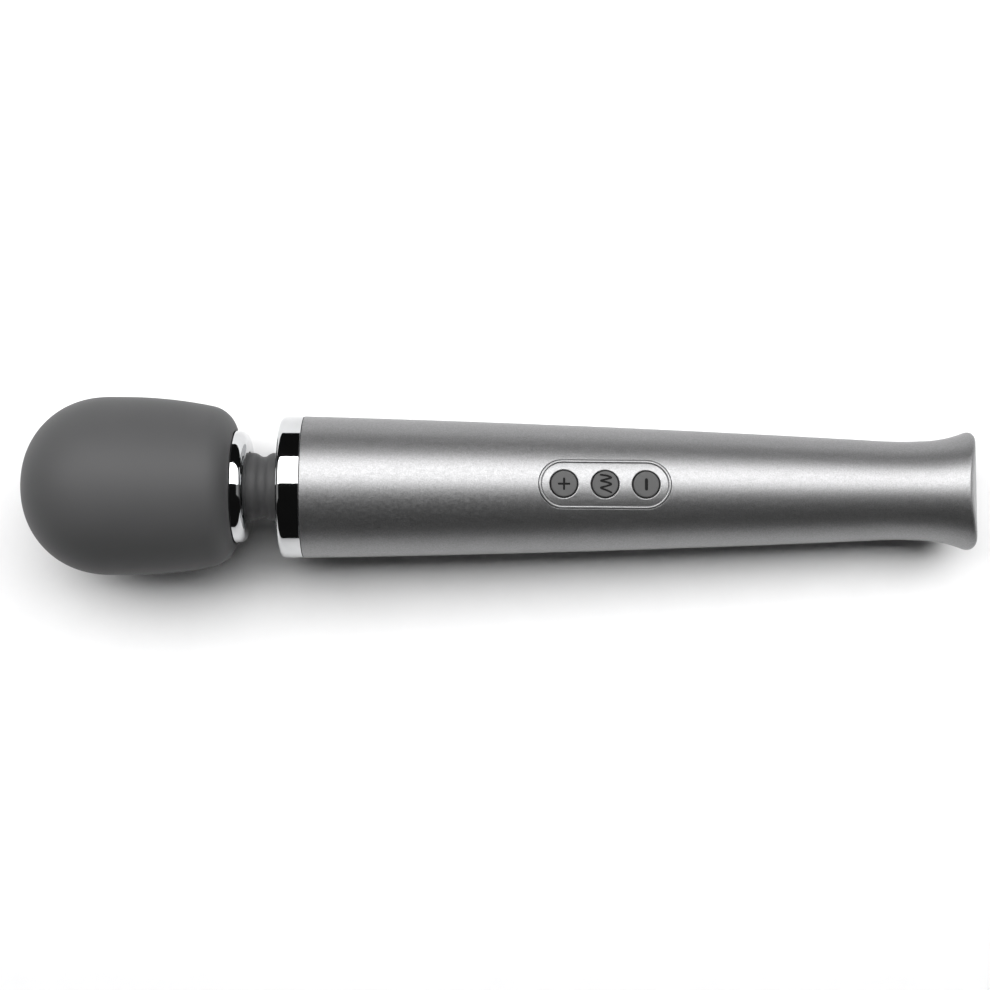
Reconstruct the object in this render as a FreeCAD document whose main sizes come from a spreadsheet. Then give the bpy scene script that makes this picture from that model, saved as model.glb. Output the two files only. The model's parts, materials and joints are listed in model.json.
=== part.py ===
"""Cordless handheld wand massager, lying on its back with the buttons up.

The wand is drawn along its own axis first: X runs from the tip of the head (0) to the tail, Z towards the
buttons. At the end every piece is laid on the floor, so that the head and the rim of the tail both touch it.
All sizes are in millimetres and live in the sheet "Dims"; each piece is bound to that sheet.
"""

import FreeCAD, Part
import Sketcher
import math
import os
import re

V = FreeCAD.Vector
UP = FreeCAD.Rotation()
ALONG_X = FreeCAD.Rotation(V(0, 1, 0), 90)
ACROSS = FreeCAD.Rotation(V(1, 0, 0), -90)
BACKWARD = FreeCAD.Rotation(V(0, 0, 1), 180)
KEY_NAMES = ("plus", "mode", "minus")

# ---------------------------------------------------------------- driving dimensions

DRIVING = {
    # soft head: a chain of tangent arcs, then the rim that closes on the chrome ring
    "tip_radius": 44.8,
    "tip_angle": 9.7,
    "shoulder_radius": 28.5,
    "shoulder_angle": 77.8,
    "side_radius": 37.1,
    "band_length": 6.0,
    "taper_radius": 150.0,
    "taper_angle": 11.4,
    "corner_radius": 9.9,
    "rim_radius": 20.2,
    "cover_wall": 2.6,
    "core_wall": 2.5,
    "core_gap": 0.1,
    "core_split": 52.0,
    "boss_radius": 3.2,
    "boss_reach": 20.8,
    "screw_seat": 66.5,
    # chrome ring at the back of the head
    "ring_start": 74.3,
    "ring_radius": 19.9,
    "ring_corner": 4.0,
    "ring_end": 79.0,
    "ring_wall": 1.5,
    # bending neck
    "boot_front": 75.4,
    "boot_back": 95.2,
    "boot_radius": 12.05,
    "boot_bore": 9.2,
    "groove_place": 84.0,
    "groove_half": 3.7,
    "groove_depth": 1.4,
    "groove_shoulder": 3.2,
    "coil_front": 76.3,
    "coil_back": 94.3,
    "coil_radius": 7.8,
    "coil_wire": 0.8,
    "coil_turns": 6.0,
    "flex_front": 66.2,
    "flex_back": 93.8,
    "flex_radius": 1.85,
    # chrome collar
    "collar_front": 90.2,
    "collar_radius": 25.15,
    "collar_corner": 2.0,
    "collar_wall": 1.6,
    "collar_hole": 12.4,
    "seam": 98.2,
    "seam_gap": 0.25,
    # handle: a long barrel arc, a waist and a flared tail
    "barrel_radius": 7000.0,
    "barrel_end": 302.0,
    "barrel_end_radius": 18.05,
    "waist_radius": 17.74,
    "waist_rise": 10.0,
    "flare_start": 322.1,
    "flare_arc": 45.0,
    "shell_wall": 2.0,
    "tail_bore": 16.0,
    "tail_end": 338.5,
    "tail_dome": 30.0,
    "tail_corner": 1.9,
    "lid_radius": 17.8,
    "lid_depth": 2.2,
    "lid_gap": 0.25,
    # button panel
    "panel_place": 203.0,
    "panel_length": 46.1,
    "panel_width": 17.0,
    "panel_gap": 0.15,
    "bead_width": 1.05,
    "bead_height": 0.25,
    "panel_sink": 0.25,
    "panel_wall": 2.6,
    "panel_lip": 1.4,
    "key_pitch": 14.25,
    "key_radius": 4.5,
    "key_gap": 0.35,
    "key_flange": 5.0,
    "key_drop": 4.3,
    "key_web": 0.8,
    "icon_depth": 0.3,
    # electronics
    "board_top": 12.0,
    "board_wall": 1.6,
    "board_start": 178.0,
    "board_length": 51.0,
    "board_width": 22.0,
    "plunger_radius": 1.7,
    "plunger_top": 16.3,
    "switch_side": 6.0,
    "switch_tall": 3.4,
    # eccentric drive
    "shaft_radius": 2.5,
    "shaft_front": 12.2,
    "shaft_back": 65.9,
    "slip": 0.02,
    "weight_radius": 15.0,
    "weight_place": 34.0,
    "weight_length": 20.0,
    "weight_hub": 5.5,
    "bearing_radius": 6.5,
    "bearing_width": 4.0,
    "ball_circle": 4.5,
    "ball_radius": 0.85,
    "race_step": 0.9,
    "front_bearing": 13.7,
    "rear_bearing": 58.0,
    "sleeve_radius": 4.2,
    # motor
    "motor_face": 97.5,
    "motor_radius": 13.85,
    "motor_length": 34.0,
    "motor_wall": 1.2,
    "motor_shaft": 1.6,
    "retainer_wall": 2.4,
    "post_reach": 18.7,
    # cells
    "cell_radius": 9.2,
    "cell_length": 65.0,
    "cell_start": 149.5,
    "cell_pitch": 68.0,
    "cell_drop": 5.6,
    "tray_front": 146.0,
    "tray_back": 286.0,
    "tray_width": 25.0,
    "tray_top": 4.6,
    "cover_plate": 1.5,
    # charging port
    "charge_board": 317.3,
    "charge_wall": 1.6,
    "port_radius": 4.0,
    "jack_face": 330.9,
    "jack_nose": 4.4,
    "jack_bore": 2.9,
    "jack_bottom": 321.5,
    "jack_pin": 1.0,
}


def barrel(x, inset=0.0):
    """Outer radius of the handle at x, less an inset."""
    d = DRIVING
    run = d["barrel_end"] - d["seam"]
    drop = d["collar_radius"] - d["barrel_end_radius"]
    half = math.hypot(run, drop) / 2
    tilt = math.atan2(drop, run)
    rise = math.sqrt(d["barrel_radius"] ** 2 - half**2)
    centre_x = (d["seam"] + d["barrel_end"]) / 2 - rise * math.sin(tilt)
    centre_r = (d["collar_radius"] + d["barrel_end_radius"]) / 2 - rise * math.cos(tilt)
    return centre_r + math.sqrt(d["barrel_radius"] ** 2 - (x - centre_x) ** 2) - inset


def derived():
    """Places that follow from the driving dimensions: arc centres and tangent points."""
    d = DRIVING
    tip, shoulder = math.radians(d["tip_angle"]), math.radians(d["shoulder_angle"])
    taper = math.radians(d["taper_angle"])
    out = {}
    step = d["tip_radius"] - d["shoulder_radius"]
    out["shoulder_x"] = d["tip_radius"] - step * math.cos(tip)
    out["shoulder_z"] = step * math.sin(tip)
    step = d["side_radius"] - d["shoulder_radius"]
    out["side_x"] = out["shoulder_x"] + step * math.cos(shoulder)
    out["side_z"] = out["shoulder_z"] - step * math.sin(shoulder)
    out["head_radius"] = out["side_z"] + d["side_radius"]
    out["band_end"] = out["side_x"] + d["band_length"]
    out["taper_z"] = out["head_radius"] - d["taper_radius"]
    step = d["taper_radius"] - d["corner_radius"]
    out["corner_x"] = out["band_end"] + step * math.sin(taper)
    out["corner_z"] = out["taper_z"] + step * math.cos(taper)
    # the groove's bottom arc is tangent to both shoulder arcs
    half, depth, shoulder = d["groove_half"], d["groove_depth"], d["groove_shoulder"]
    out["groove_arc"] = (half**2 + depth**2) / (2 * depth) - shoulder
    share = shoulder / (shoulder + out["groove_arc"])
    out["groove_side"] = half * (1 - share)
    out["groove_rise"] = depth * (1 - share)
    # the arc through the waist is tangent to the barrel, then to the flare
    out["waist"] = d["barrel_end"] + d["waist_rise"]
    sag = d["barrel_end_radius"] - d["waist_radius"]
    out["waist_arc"] = (d["waist_rise"] ** 2 + sag**2) / (2 * sag)
    rise = d["flare_start"] - out["waist"]
    out["flare_start_radius"] = (
        d["waist_radius"] + out["waist_arc"] - math.sqrt(out["waist_arc"] ** 2 - rise**2)
    )
    slope = math.asin(rise / out["waist_arc"])
    flare_x = d["flare_start"] - d["flare_arc"] * math.sin(slope)
    flare_z = out["flare_start_radius"] + d["flare_arc"] * math.cos(slope)
    # the tail's rounded corner touches the flare from outside and the plane of the tail's end
    reach = d["flare_arc"] + d["tail_corner"]
    corner_x = d["tail_end"] - d["tail_corner"]
    out["tail_flat"] = flare_z - math.sqrt(reach**2 - (corner_x - flare_x) ** 2)
    share = d["flare_arc"] / reach
    out["flare_end"] = flare_x + (corner_x - flare_x) * share
    out["flare_end_radius"] = flare_z + (out["tail_flat"] - flare_z) * share
    # handle radii where other pieces meet it
    out["shell_start"] = d["seam"] + d["seam_gap"]
    out["shell_start_radius"] = barrel(out["shell_start"])
    out["panel_front"] = d["panel_place"] - 26.0
    out["panel_back"] = d["panel_place"] + 26.0
    out["panel_front_radius"] = barrel(out["panel_front"])
    out["panel_back_radius"] = barrel(out["panel_back"])
    out["tray_front_radius"] = barrel(d["tray_front"])
    out["tray_back_radius"] = barrel(d["tray_back"])
    for i, name in enumerate(KEY_NAMES):
        out[f"{name}_place"] = d["panel_place"] + (i - 1) * d["key_pitch"]
        out[f"{name}_top"] = barrel(out[f"{name}_place"])
    return out


SIZES = {**DRIVING, **derived()}

doc = FreeCAD.newDocument("WandMassager")
sheet = doc.addObject("Spreadsheet::Sheet", "Dims")
for row, (alias, value) in enumerate(SIZES.items(), 1):
    sheet.set(f"A{row}", alias)
    sheet.set(f"B{row}", f"{value:.6f}")
    sheet.setAlias(f"B{row}", alias)
doc.recompute()

# ---------------------------------------------------------------- helpers

subparts = []


def bound(expression):
    """The expression with every alias named through the sheet."""
    words = re.compile(r"[a-z][a-z_]*")
    return words.sub(lambda w: f"Dims.{w.group()}" if w.group() in SIZES else w.group(), str(expression))


def size(expression):
    return float(sheet.evalExpression(bound(expression)))


def bind(thing, **properties):
    """Binds properties of a document object to the sheet."""
    for name, expression in properties.items():
        thing.setExpression(name, bound(expression))
    return thing


def keep(thing, label):
    """Marks an object of the document as a sub-part."""
    thing.Label = label
    subparts.append(thing)
    return thing


def origin_plane(body, role):
    return next(f for f in body.Origin.OriginFeatures if f.Role == role)


def arc_between(a, b, radius, turn):
    """The short arc from a to b that turns left or right."""
    chord = b - a
    reach = math.sqrt(max(radius**2 - (chord.Length / 2) ** 2, 0.0))
    left = V(-chord.y, chord.x, 0).normalize()
    centre = (a + b) / 2 + left * (reach if turn == "left" else -reach)
    first, last = (a, b) if turn == "left" else (b, a)
    start = math.atan2(first.y - centre.y, first.x - centre.x)
    end = math.atan2(last.y - centre.y, last.x - centre.x)
    return Part.ArcOfCircle(Part.Circle(centre, V(0, 0, 1), radius), start, end)


def add_loop(sketch, outline):
    """Closed outline. (x, y) ends a straight line; (x, y, radius, turn) ends an arc."""
    points = [V(size(p[0]), size(p[1]), 0) for p in outline]
    edges = []
    for i, step in enumerate(outline):
        a, b = points[i - 1], points[i]
        if len(step) == 4:
            edge = sketch.addGeometry(arc_between(a, b, size(step[2]), step[3]), False)
            edges.append((edge, 1, 2) if step[3] == "left" else (edge, 2, 1))
        else:
            edges.append((sketch.addGeometry(Part.LineSegment(a, b), False), 1, 2))
    for i, (edge, start, end) in enumerate(edges):
        following, begins = edges[(i + 1) % len(edges)][:2]
        sketch.addConstraint(Sketcher.Constraint("Coincident", edge, end, following, begins))
        for kind, value, where in (("DistanceX", points[i].x, 0), ("DistanceY", points[i].y, 1)):
            number = sketch.addConstraint(Sketcher.Constraint(kind, -1, 1, edge, end, value))
            sketch.renameConstraint(number, f"p{edge}{kind[-1]}")
            sketch.setExpression(f"Constraints.p{edge}{kind[-1]}", bound(outline[i][where]))
        if len(outline[i]) == 4:
            radius = outline[i][2]
            number = sketch.addConstraint(Sketcher.Constraint("Radius", edge, size(radius)))
            sketch.renameConstraint(number, f"r{edge}")
            sketch.setExpression(f"Constraints.r{edge}", bound(radius))


def add_circle(sketch, x, y, radius):
    circle = Part.Circle(V(size(x), size(y), 0), V(0, 0, 1), size(radius))
    edge = sketch.addGeometry(circle, False)
    for kind, value, name in (("DistanceX", x, "x"), ("DistanceY", y, "y")):
        number = sketch.addConstraint(Sketcher.Constraint(kind, -1, 1, edge, 3, size(value)))
        sketch.renameConstraint(number, f"c{edge}{name}")
        sketch.setExpression(f"Constraints.c{edge}{name}", bound(value))
    number = sketch.addConstraint(Sketcher.Constraint("Radius", edge, size(radius)))
    sketch.renameConstraint(number, f"c{edge}r")
    sketch.setExpression(f"Constraints.c{edge}r", bound(radius))


def new_sketch(body, role, lift="0"):
    """A sketch on one of the body's own origin planes, lifted along that plane's normal."""
    sketch = body.newObject("Sketcher::SketchObject", f"{body.Name}_sketch")
    sketch.AttachmentSupport = [(origin_plane(body, role), "")]
    sketch.MapMode = "FlatFace"
    if lift != "0":
        sketch.setExpression("AttachmentOffset.Base.z", bound(lift))
    return sketch


def new_body(label):
    return doc.addObject("PartDesign::Body", label)


def revolve(body, outline, angle=360.0):
    """Turns an outline, drawn as (along the axis, away from it), about the wand's axis."""
    sketch = new_sketch(body, "XZ_Plane")
    add_loop(sketch, outline)
    feature = body.newObject("PartDesign::Revolution", f"{body.Name}_turn")
    feature.Profile = sketch
    feature.ReferenceAxis = (sketch, ["H_Axis"])
    feature.Angle = angle
    feature.Midplane = angle < 360
    return feature


def turned(label, outline, angle=360.0):
    """A sub-part of one revolution."""
    body = new_body(label)
    revolve(body, outline, angle)
    return keep(body, label)


def tube(label, start, end, inner, outer):
    return turned(label, [(start, inner), (start, outer), (end, outer), (end, inner)])


def pocket(body, sketch, length):
    """Cuts a sketch out of a body, along the normal of the sketch's plane."""
    feature = body.newObject("PartDesign::Pocket", f"{body.Name}_pocket")
    feature.Profile = sketch
    feature.Reversed = True
    feature.setExpression("Length", bound(length))


def ring_of_holes(body, start, depth, radius, reach, count, turn=0.0):
    """Pockets that run along +X from the plane x = start, spread on a circle about the axis."""
    sketch = new_sketch(body, "YZ_Plane", start)
    for i in range(count):
        angle = turn + 360.0 * i / count
        add_circle(sketch, f"({reach}) * cos({angle})", f"({reach}) * sin({angle})", radius)
    pocket(body, sketch, depth)


def solid(kind, name, place, **properties):
    """A Part primitive at place = (x, y, z, rotation), with its sizes and place bound to the sheet."""
    thing = doc.addObject(kind, name)
    x, y, z, rotation = place
    thing.Placement = FreeCAD.Placement(V(size(x), size(y), size(z)), rotation)
    bind(thing, **properties)
    for axis, value in (("x", x), ("y", y), ("z", z)):
        thing.setExpression(f"Placement.Base.{axis}", bound(value))
    return thing


def rod(name, place, radius, length):
    return solid("Part::Cylinder", name, place, Radius=radius, Height=length)


def block(name, x, y, z, length, width, height):
    """A box centred on y, with its low corner at x and z."""
    place = (x, f"({y}) - ({width}) / 2", z, UP)
    return solid("Part::Box", name, place, Length=length, Width=width, Height=height)


def cut(name, base, *tools):
    tool = tools[0] if len(tools) == 1 else fuse(name + "_tools", *tools)
    thing = doc.addObject("Part::Cut", name)
    thing.Base = base
    thing.Tool = tool
    return thing


def fuse(name, *pieces):
    thing = doc.addObject("Part::MultiFuse", name)
    thing.Shapes = list(pieces)
    return thing


def common(name, base, tool):
    thing = doc.addObject("Part::Common", name)
    thing.Base = base
    thing.Tool = tool
    return thing


def group(label, pieces):
    """Separate solids that share one sub-part."""
    thing = doc.addObject("Part::Compound", label)
    thing.Links = list(pieces)
    return keep(thing, label)


def screw(name, place, shank, length, head, thick):
    """Cap screw with a hexagon socket. Its head ends at the place and its shank runs on from there."""
    body = new_body(name)
    socket, deep = f"({shank}) * 0.8", f"({thick}) * 0.6"
    back = f"0 - ({thick})"
    revolve(body, [("0", "0"), ("0", shank), (length, shank), (length, "0")])
    revolve(body, [(back, "0"), (back, head), ("0", head), ("0", "0")])
    sketch = new_sketch(body, "YZ_Plane", back)
    corners = [(f"({socket}) * cos({60 * i})", f"({socket}) * sin({60 * i})") for i in range(6)]
    add_loop(sketch, corners)
    pocket(body, sketch, deep)
    x, y, z, rotation = place
    body.Placement = FreeCAD.Placement(V(size(x), size(y), size(z)), rotation)
    return body


# ---------------------------------------------------------------- the head's outline


def head_arcs(inset, reverse=False):
    """The head's outline from the tip to the start of its rear corner, moved inwards by an inset."""

    def spot(centre_x, centre_z, radius, angle):
        reach = f"({radius} - ({inset}))"
        return f"{centre_x} - {reach} * cos({angle})", f"{centre_z} + {reach} * sin({angle})"

    tip = (f"{inset}", "0")
    tip_end = spot("tip_radius", "0", "tip_radius", "tip_angle")
    shoulder_end = spot("shoulder_x", "shoulder_z", "shoulder_radius", "shoulder_angle")
    top = f"head_radius - ({inset})"
    taper_end = spot("band_end", "taper_z", "taper_radius", "(90 + taper_angle)")
    radii = [f"{name}_radius - ({inset})" for name in ("tip", "shoulder", "side", "taper")]
    if not reverse:
        return [
            tip,
            (*tip_end, radii[0], "right"),
            (*shoulder_end, radii[1], "right"),
            ("side_x", top, radii[2], "right"),
            ("band_end", top),
            (*taper_end, radii[3], "right"),
        ]
    return [
        taper_end,
        ("band_end", top, radii[3], "left"),
        ("side_x", top),
        (*shoulder_end, radii[2], "left"),
        (*tip_end, radii[1], "left"),
        (*tip, radii[0], "left"),
    ]


def corner_end(inset, radius):
    """Where the rear corner arc, moved inwards, comes down to a radius."""
    reach = f"(corner_radius - ({inset}))"
    return f"corner_x + sqrt({reach}^2 - (({radius}) - corner_z)^2)", f"{radius}"


def taper_point(x, inset):
    """The point of the taper arc, moved inwards, at x."""
    return f"{x}", f"taper_z + sqrt((taper_radius - ({inset}))^2 - (({x}) - band_end)^2)"


# ---------------------------------------------------------------- head


def radial_spots(reach, count, turn):
    """Points on a circle about the axis, in the YZ plane."""
    angles = [turn + 360.0 * i / count for i in range(count)]
    return [(f"({reach}) * cos({angle})", f"({reach}) * sin({angle})") for angle in angles]


def pad_circles(body, start, length, radius, spots):
    """Round bosses that run along +X from the plane x = start."""
    sketch = new_sketch(body, "YZ_Plane", start)
    for y, z in spots:
        add_circle(sketch, y, z, radius)
    feature = body.newObject("PartDesign::Pad", f"{body.Name}_bosses")
    feature.Profile = sketch
    feature.setExpression("Length", bound(length))


def pad_ribs(body, start, length, near, far, width, turns):
    """Flat ribs that run outwards from the axis at the given angles."""
    for turn in turns:
        sketch = new_sketch(body, "YZ_Plane", start)
        corners = [(near, -1), (far, -1), (far, 1), (near, 1)]
        add_loop(
            sketch,
            [
                (
                    f"({reach}) * cos({turn}) - {side} * ({width}) / 2 * sin({turn})",
                    f"({reach}) * sin({turn}) + {side} * ({width}) / 2 * cos({turn})",
                )
                for reach, side in corners
            ],
        )
        feature = body.newObject("PartDesign::Pad", f"{body.Name}_rib")
        feature.Profile = sketch
        feature.setExpression("Length", bound(length))


def make_head_cover():
    inner = head_arcs("cover_wall", reverse=True)
    turned(
        "head_cover",
        head_arcs("0")
        + [(*corner_end("0", "rim_radius"), "corner_radius", "right")]
        + [corner_end("cover_wall", "rim_radius")]
        + [(*inner[0], "corner_radius - cover_wall", "left")]
        + inner[1:],
    )


SKIN = "cover_wall + core_gap"
BONE = "cover_wall + core_gap + core_wall"
BOSS_TURNS = [90.0, 210.0, 330.0]


def make_head_core_front():
    outer, hollow = head_arcs(SKIN), head_arcs(BONE, reverse=True)
    hub, seat = "bearing_radius + 2.1", "bearing_radius + slip"
    hub_foot = f"shoulder_x - sqrt((shoulder_radius - ({BONE}))^2 - ({hub} - shoulder_z)^2)"
    body = new_body("head_core_front")
    revolve(
        body,
        outer[:5]
        + [(*taper_point("core_split", SKIN), f"taper_radius - ({SKIN})", "right")]
        + [taper_point("core_split", BONE)]
        + [("band_end", f"head_radius - ({BONE})", f"taper_radius - ({BONE})", "left")]
        + hollow[2:4]
        + [
            (hub_foot, hub, f"shoulder_radius - ({BONE})", "left"),
            ("front_bearing + bearing_width + 0.1", hub),
            ("front_bearing + bearing_width + 0.1", seat),
            ("front_bearing - 0.1", seat),
            ("front_bearing - 0.1", "3.2"),
            ("front_bearing - 2.2", "3.2"),
            ("front_bearing - 2.2", "0"),
        ],
    )
    pad_circles(body, "core_split - 9", "9", "boss_radius", radial_spots("boss_reach", 3, 90.0))
    pad_ribs(body, "core_split - 9", "9", "boss_reach", "head_radius - 4.6", "2.4", BOSS_TURNS)
    ring_of_holes(body, "core_split - 7.5", "8", "1.3", "boss_reach", 3, turn=90.0)
    keep(body, "head_core_front")


def make_head_core_rear():
    outer, hollow = head_arcs(SKIN), head_arcs(BONE, reverse=True)
    seat, step = "bearing_radius + slip", "rear_bearing + bearing_width + 0.05"
    spigot, end = "ring_radius - ring_wall - 0.1", "ring_end - ring_wall - 0.1"
    spigot_corner = "ring_corner - ring_wall - 0.1"
    reach = f"(corner_radius - ({BONE}))"
    body = new_body("head_core_rear")
    revolve(
        body,
        [(*taper_point("core_split", BONE), f"taper_radius - ({BONE})", "left")]
        + [taper_point("core_split", SKIN), (*outer[5][:2], f"taper_radius - ({SKIN})", "right")]
        + [(*corner_end(SKIN, spigot), f"corner_radius - ({SKIN})", "right")]
        + [
            (f"{end} - ({spigot_corner})", spigot),
            (end, f"{spigot} - ({spigot_corner})", spigot_corner, "right"),
            (end, "boot_radius + 0.1"),
            ("boot_front - 0.1", "boot_radius + 0.1"),
            ("boot_front - 0.1", "9"),
            ("73", "9"),
            ("73", "6"),
            ("64", "6"),
            ("64", "5.2"),
            (step, "5.2"),
            (step, seat),
            ("rear_bearing - 0.5", seat),
            ("rear_bearing - 0.5", "9"),
            (f"corner_x + {reach}", "9"),
            (f"corner_x + {reach}", "corner_z"),
            (*hollow[0][:2], reach, "left"),
        ],
    )
    pad_circles(body, "core_split", "16", "boss_radius", radial_spots("boss_reach", 3, 90.0))
    pad_ribs(body, "core_split", "10", "boss_reach", "head_radius - 5.4", "2.4", BOSS_TURNS)
    ring_of_holes(body, "core_split - 1", "30", "1.3", "boss_reach", 3, turn=90.0)
    ring_of_holes(body, "screw_seat", "8", "2.4", "boss_reach", 3, turn=90.0)
    keep(body, "head_core_rear")


def make_head_ring():
    inner_corner = "ring_corner - ring_wall"
    bore = "boot_radius + 0.15"
    turned(
        "head_ring",
        [
            ("ring_start", "ring_radius"),
            ("ring_end - ring_corner", "ring_radius"),
            ("ring_end", "ring_radius - ring_corner", "ring_corner", "right"),
            ("ring_end", bore),
            ("ring_end - ring_wall", bore),
            ("ring_end - ring_wall", "ring_radius - ring_corner"),
            ("ring_end - ring_corner", "ring_radius - ring_wall", inner_corner, "left"),
            ("ring_start", "ring_radius - ring_wall"),
        ],
    )


def make_head_screws():
    spots = radial_spots("boss_reach", 3, 90.0)
    screws = [
        screw(f"head_screw_{i}", ("screw_seat", y, z, BACKWARD), "1.25", "20", "2.2", "1.8")
        for i, (y, z) in enumerate(spots)
    ]
    group("head_screws", screws)


def make_bearing(name, start):
    """Outer race and balls stay with the head; the inner race turns with the shaft."""
    back = f"{start} + bearing_width"
    tube(f"{name}_outer_race", start, back, "ball_circle + race_step", "bearing_radius")
    tube(f"{name}_inner_race", start, back, "shaft_radius", "ball_circle - race_step")
    balls = []
    for i in range(8):
        y, z = f"ball_circle * cos({45 * i})", f"ball_circle * sin({45 * i})"
        place = (f"{start} + bearing_width / 2", y, z, UP)
        balls.append(solid("Part::Sphere", f"{name}_ball_{i}", place, Radius="ball_radius"))
    group(f"{name}_balls", balls)


def make_eccentric():
    turned(
        "eccentric_shaft",
        [
            ("shaft_front", "0"),
            ("shaft_front", "shaft_radius - 0.4"),
            ("shaft_front + 0.4", "shaft_radius"),
            ("shaft_back", "shaft_radius"),
            ("shaft_back", "0"),
        ],
    )
    body = new_body("eccentric_weight")
    near, far = "weight_place - weight_length / 2", "weight_place + weight_length / 2"
    hub_near, hub_far = "weight_place - 4", "weight_place + 4"
    bottom = "0 - weight_radius"
    bore = "0 - shaft_radius"
    chamfer = "0 - weight_radius + 1"
    revolve(
        body,
        [(near, bore), (near, chamfer), (f"{near} + 1", bottom), (f"{far} - 1", bottom)]
        + [(far, chamfer), (far, bore)],
        angle=180.0,
    )
    revolve(
        body,
        [
            (hub_near, "shaft_radius"),
            (hub_near, "weight_hub"),
            (hub_far, "weight_hub"),
            (hub_far, "shaft_radius"),
        ],
    )
    sketch = new_sketch(body, "XY_Plane", "shaft_radius / 2")
    add_circle(sketch, "weight_place", "0", "1.3")
    pocket(body, sketch, "weight_hub")
    keep(body, "eccentric_weight")

    plug = rod("weight_screw_blank", ("weight_place", "0", "shaft_radius + slip", UP), "1.28", "2.6")
    place = ("weight_place", "0", "shaft_radius + 1.3", UP)
    socket = solid("Part::Prism", "weight_screw_socket", place, Circumradius="0.8", Height="2")
    keep(cut("weight_screw", plug, socket), "weight_screw")

    turned(
        "head_coupling",
        [
            ("shaft_back - 3.3", "shaft_radius"),
            ("shaft_back - 3.3", "sleeve_radius"),
            ("shaft_back + 5.1", "sleeve_radius"),
            ("shaft_back + 5.1", "flex_radius + 0.15"),
            ("shaft_back + 0.1", "flex_radius + 0.15"),
            ("shaft_back + 0.1", "shaft_radius"),
        ],
    )


# ---------------------------------------------------------------- neck


def make_neck_boot():
    left, right = "groove_place - groove_side", "groove_place + groove_side"
    level = "boot_radius - groove_depth + groove_rise"
    turned(
        "neck_boot",
        [
            ("boot_front", "boot_bore"),
            ("boot_front", "boot_radius"),
            ("groove_place - groove_half", "boot_radius"),
            (left, level, "groove_shoulder", "right"),
            (right, level, "groove_arc", "left"),
            ("groove_place + groove_half", "boot_radius", "groove_shoulder", "right"),
            ("boot_back", "boot_radius"),
            ("boot_back", "boot_bore"),
        ],
    )


def make_neck_spring():
    body = new_body("neck_spring")
    sketch = new_sketch(body, "XZ_Plane")
    add_circle(sketch, "coil_front", "coil_radius", "coil_wire")
    coil = body.newObject("PartDesign::AdditiveHelix", "neck_spring_coil")
    coil.Profile = sketch
    coil.ReferenceAxis = (sketch, ["H_Axis"])
    coil.Mode = "pitch-height-angle"
    coil.setExpression("Pitch", bound("(coil_back - coil_front) / coil_turns"))
    coil.setExpression("Height", bound("coil_back - coil_front"))
    keep(body, "neck_spring")


def make_flex_shaft():
    near, far, radius = "flex_front", "flex_back", "flex_radius"
    turned("flex_shaft", [(near, "0"), (near, radius), (far, radius), (far, "0")])


# ---------------------------------------------------------------- front of the handle


def make_collar():
    turned(
        "collar",
        [
            ("collar_front", "collar_hole"),
            ("collar_front", "collar_radius - collar_corner"),
            ("collar_front + collar_corner", "collar_radius", "collar_corner", "right"),
            ("seam", "collar_radius"),
            ("seam", "collar_radius - collar_wall"),
            ("collar_front + collar_wall", "collar_radius - collar_wall"),
            ("collar_front + collar_wall", "collar_hole"),
        ],
    )
    tube("collar_gasket", "seam", "shell_start", "collar_radius - collar_wall", "collar_radius - 0.35")


def make_front_bulkhead():
    bore, skirt = "motor_radius + 0.1", "motor_radius + 2.6"
    socket = "boot_radius + 0.1"
    plug = "collar_radius - collar_wall - 0.1"
    rim = "shell_start_radius - shell_wall - 0.45"
    body = new_body("front_bulkhead")
    revolve(
        body,
        [
            ("collar_front + collar_wall + 0.1", socket),
            ("collar_front + collar_wall + 0.1", plug),
            ("seam", plug),
            ("seam", rim),
            ("seam + 8", rim),
            ("seam + 8", "20.6"),
            ("seam + 3", "20.6"),
            ("seam + 3", skirt),
            ("motor_face + 14", skirt),
            ("motor_face + 14", bore),
            ("motor_face", bore),
            ("motor_face", "5.2"),
            ("boot_back + 0.1", "5.2"),
            ("boot_back + 0.1", socket),
        ],
    )
    post_end = "motor_face + motor_length + 2.5"
    spots = radial_spots("post_reach", 2, 0.0)
    pad_circles(body, "seam + 2", f"{post_end} - seam - 2", "2.6", spots)
    ring_of_holes(body, f"{post_end} - 11", "12", "1.3", "post_reach", 2)
    keep(body, "front_bulkhead")


# ---------------------------------------------------------------- motor


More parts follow.
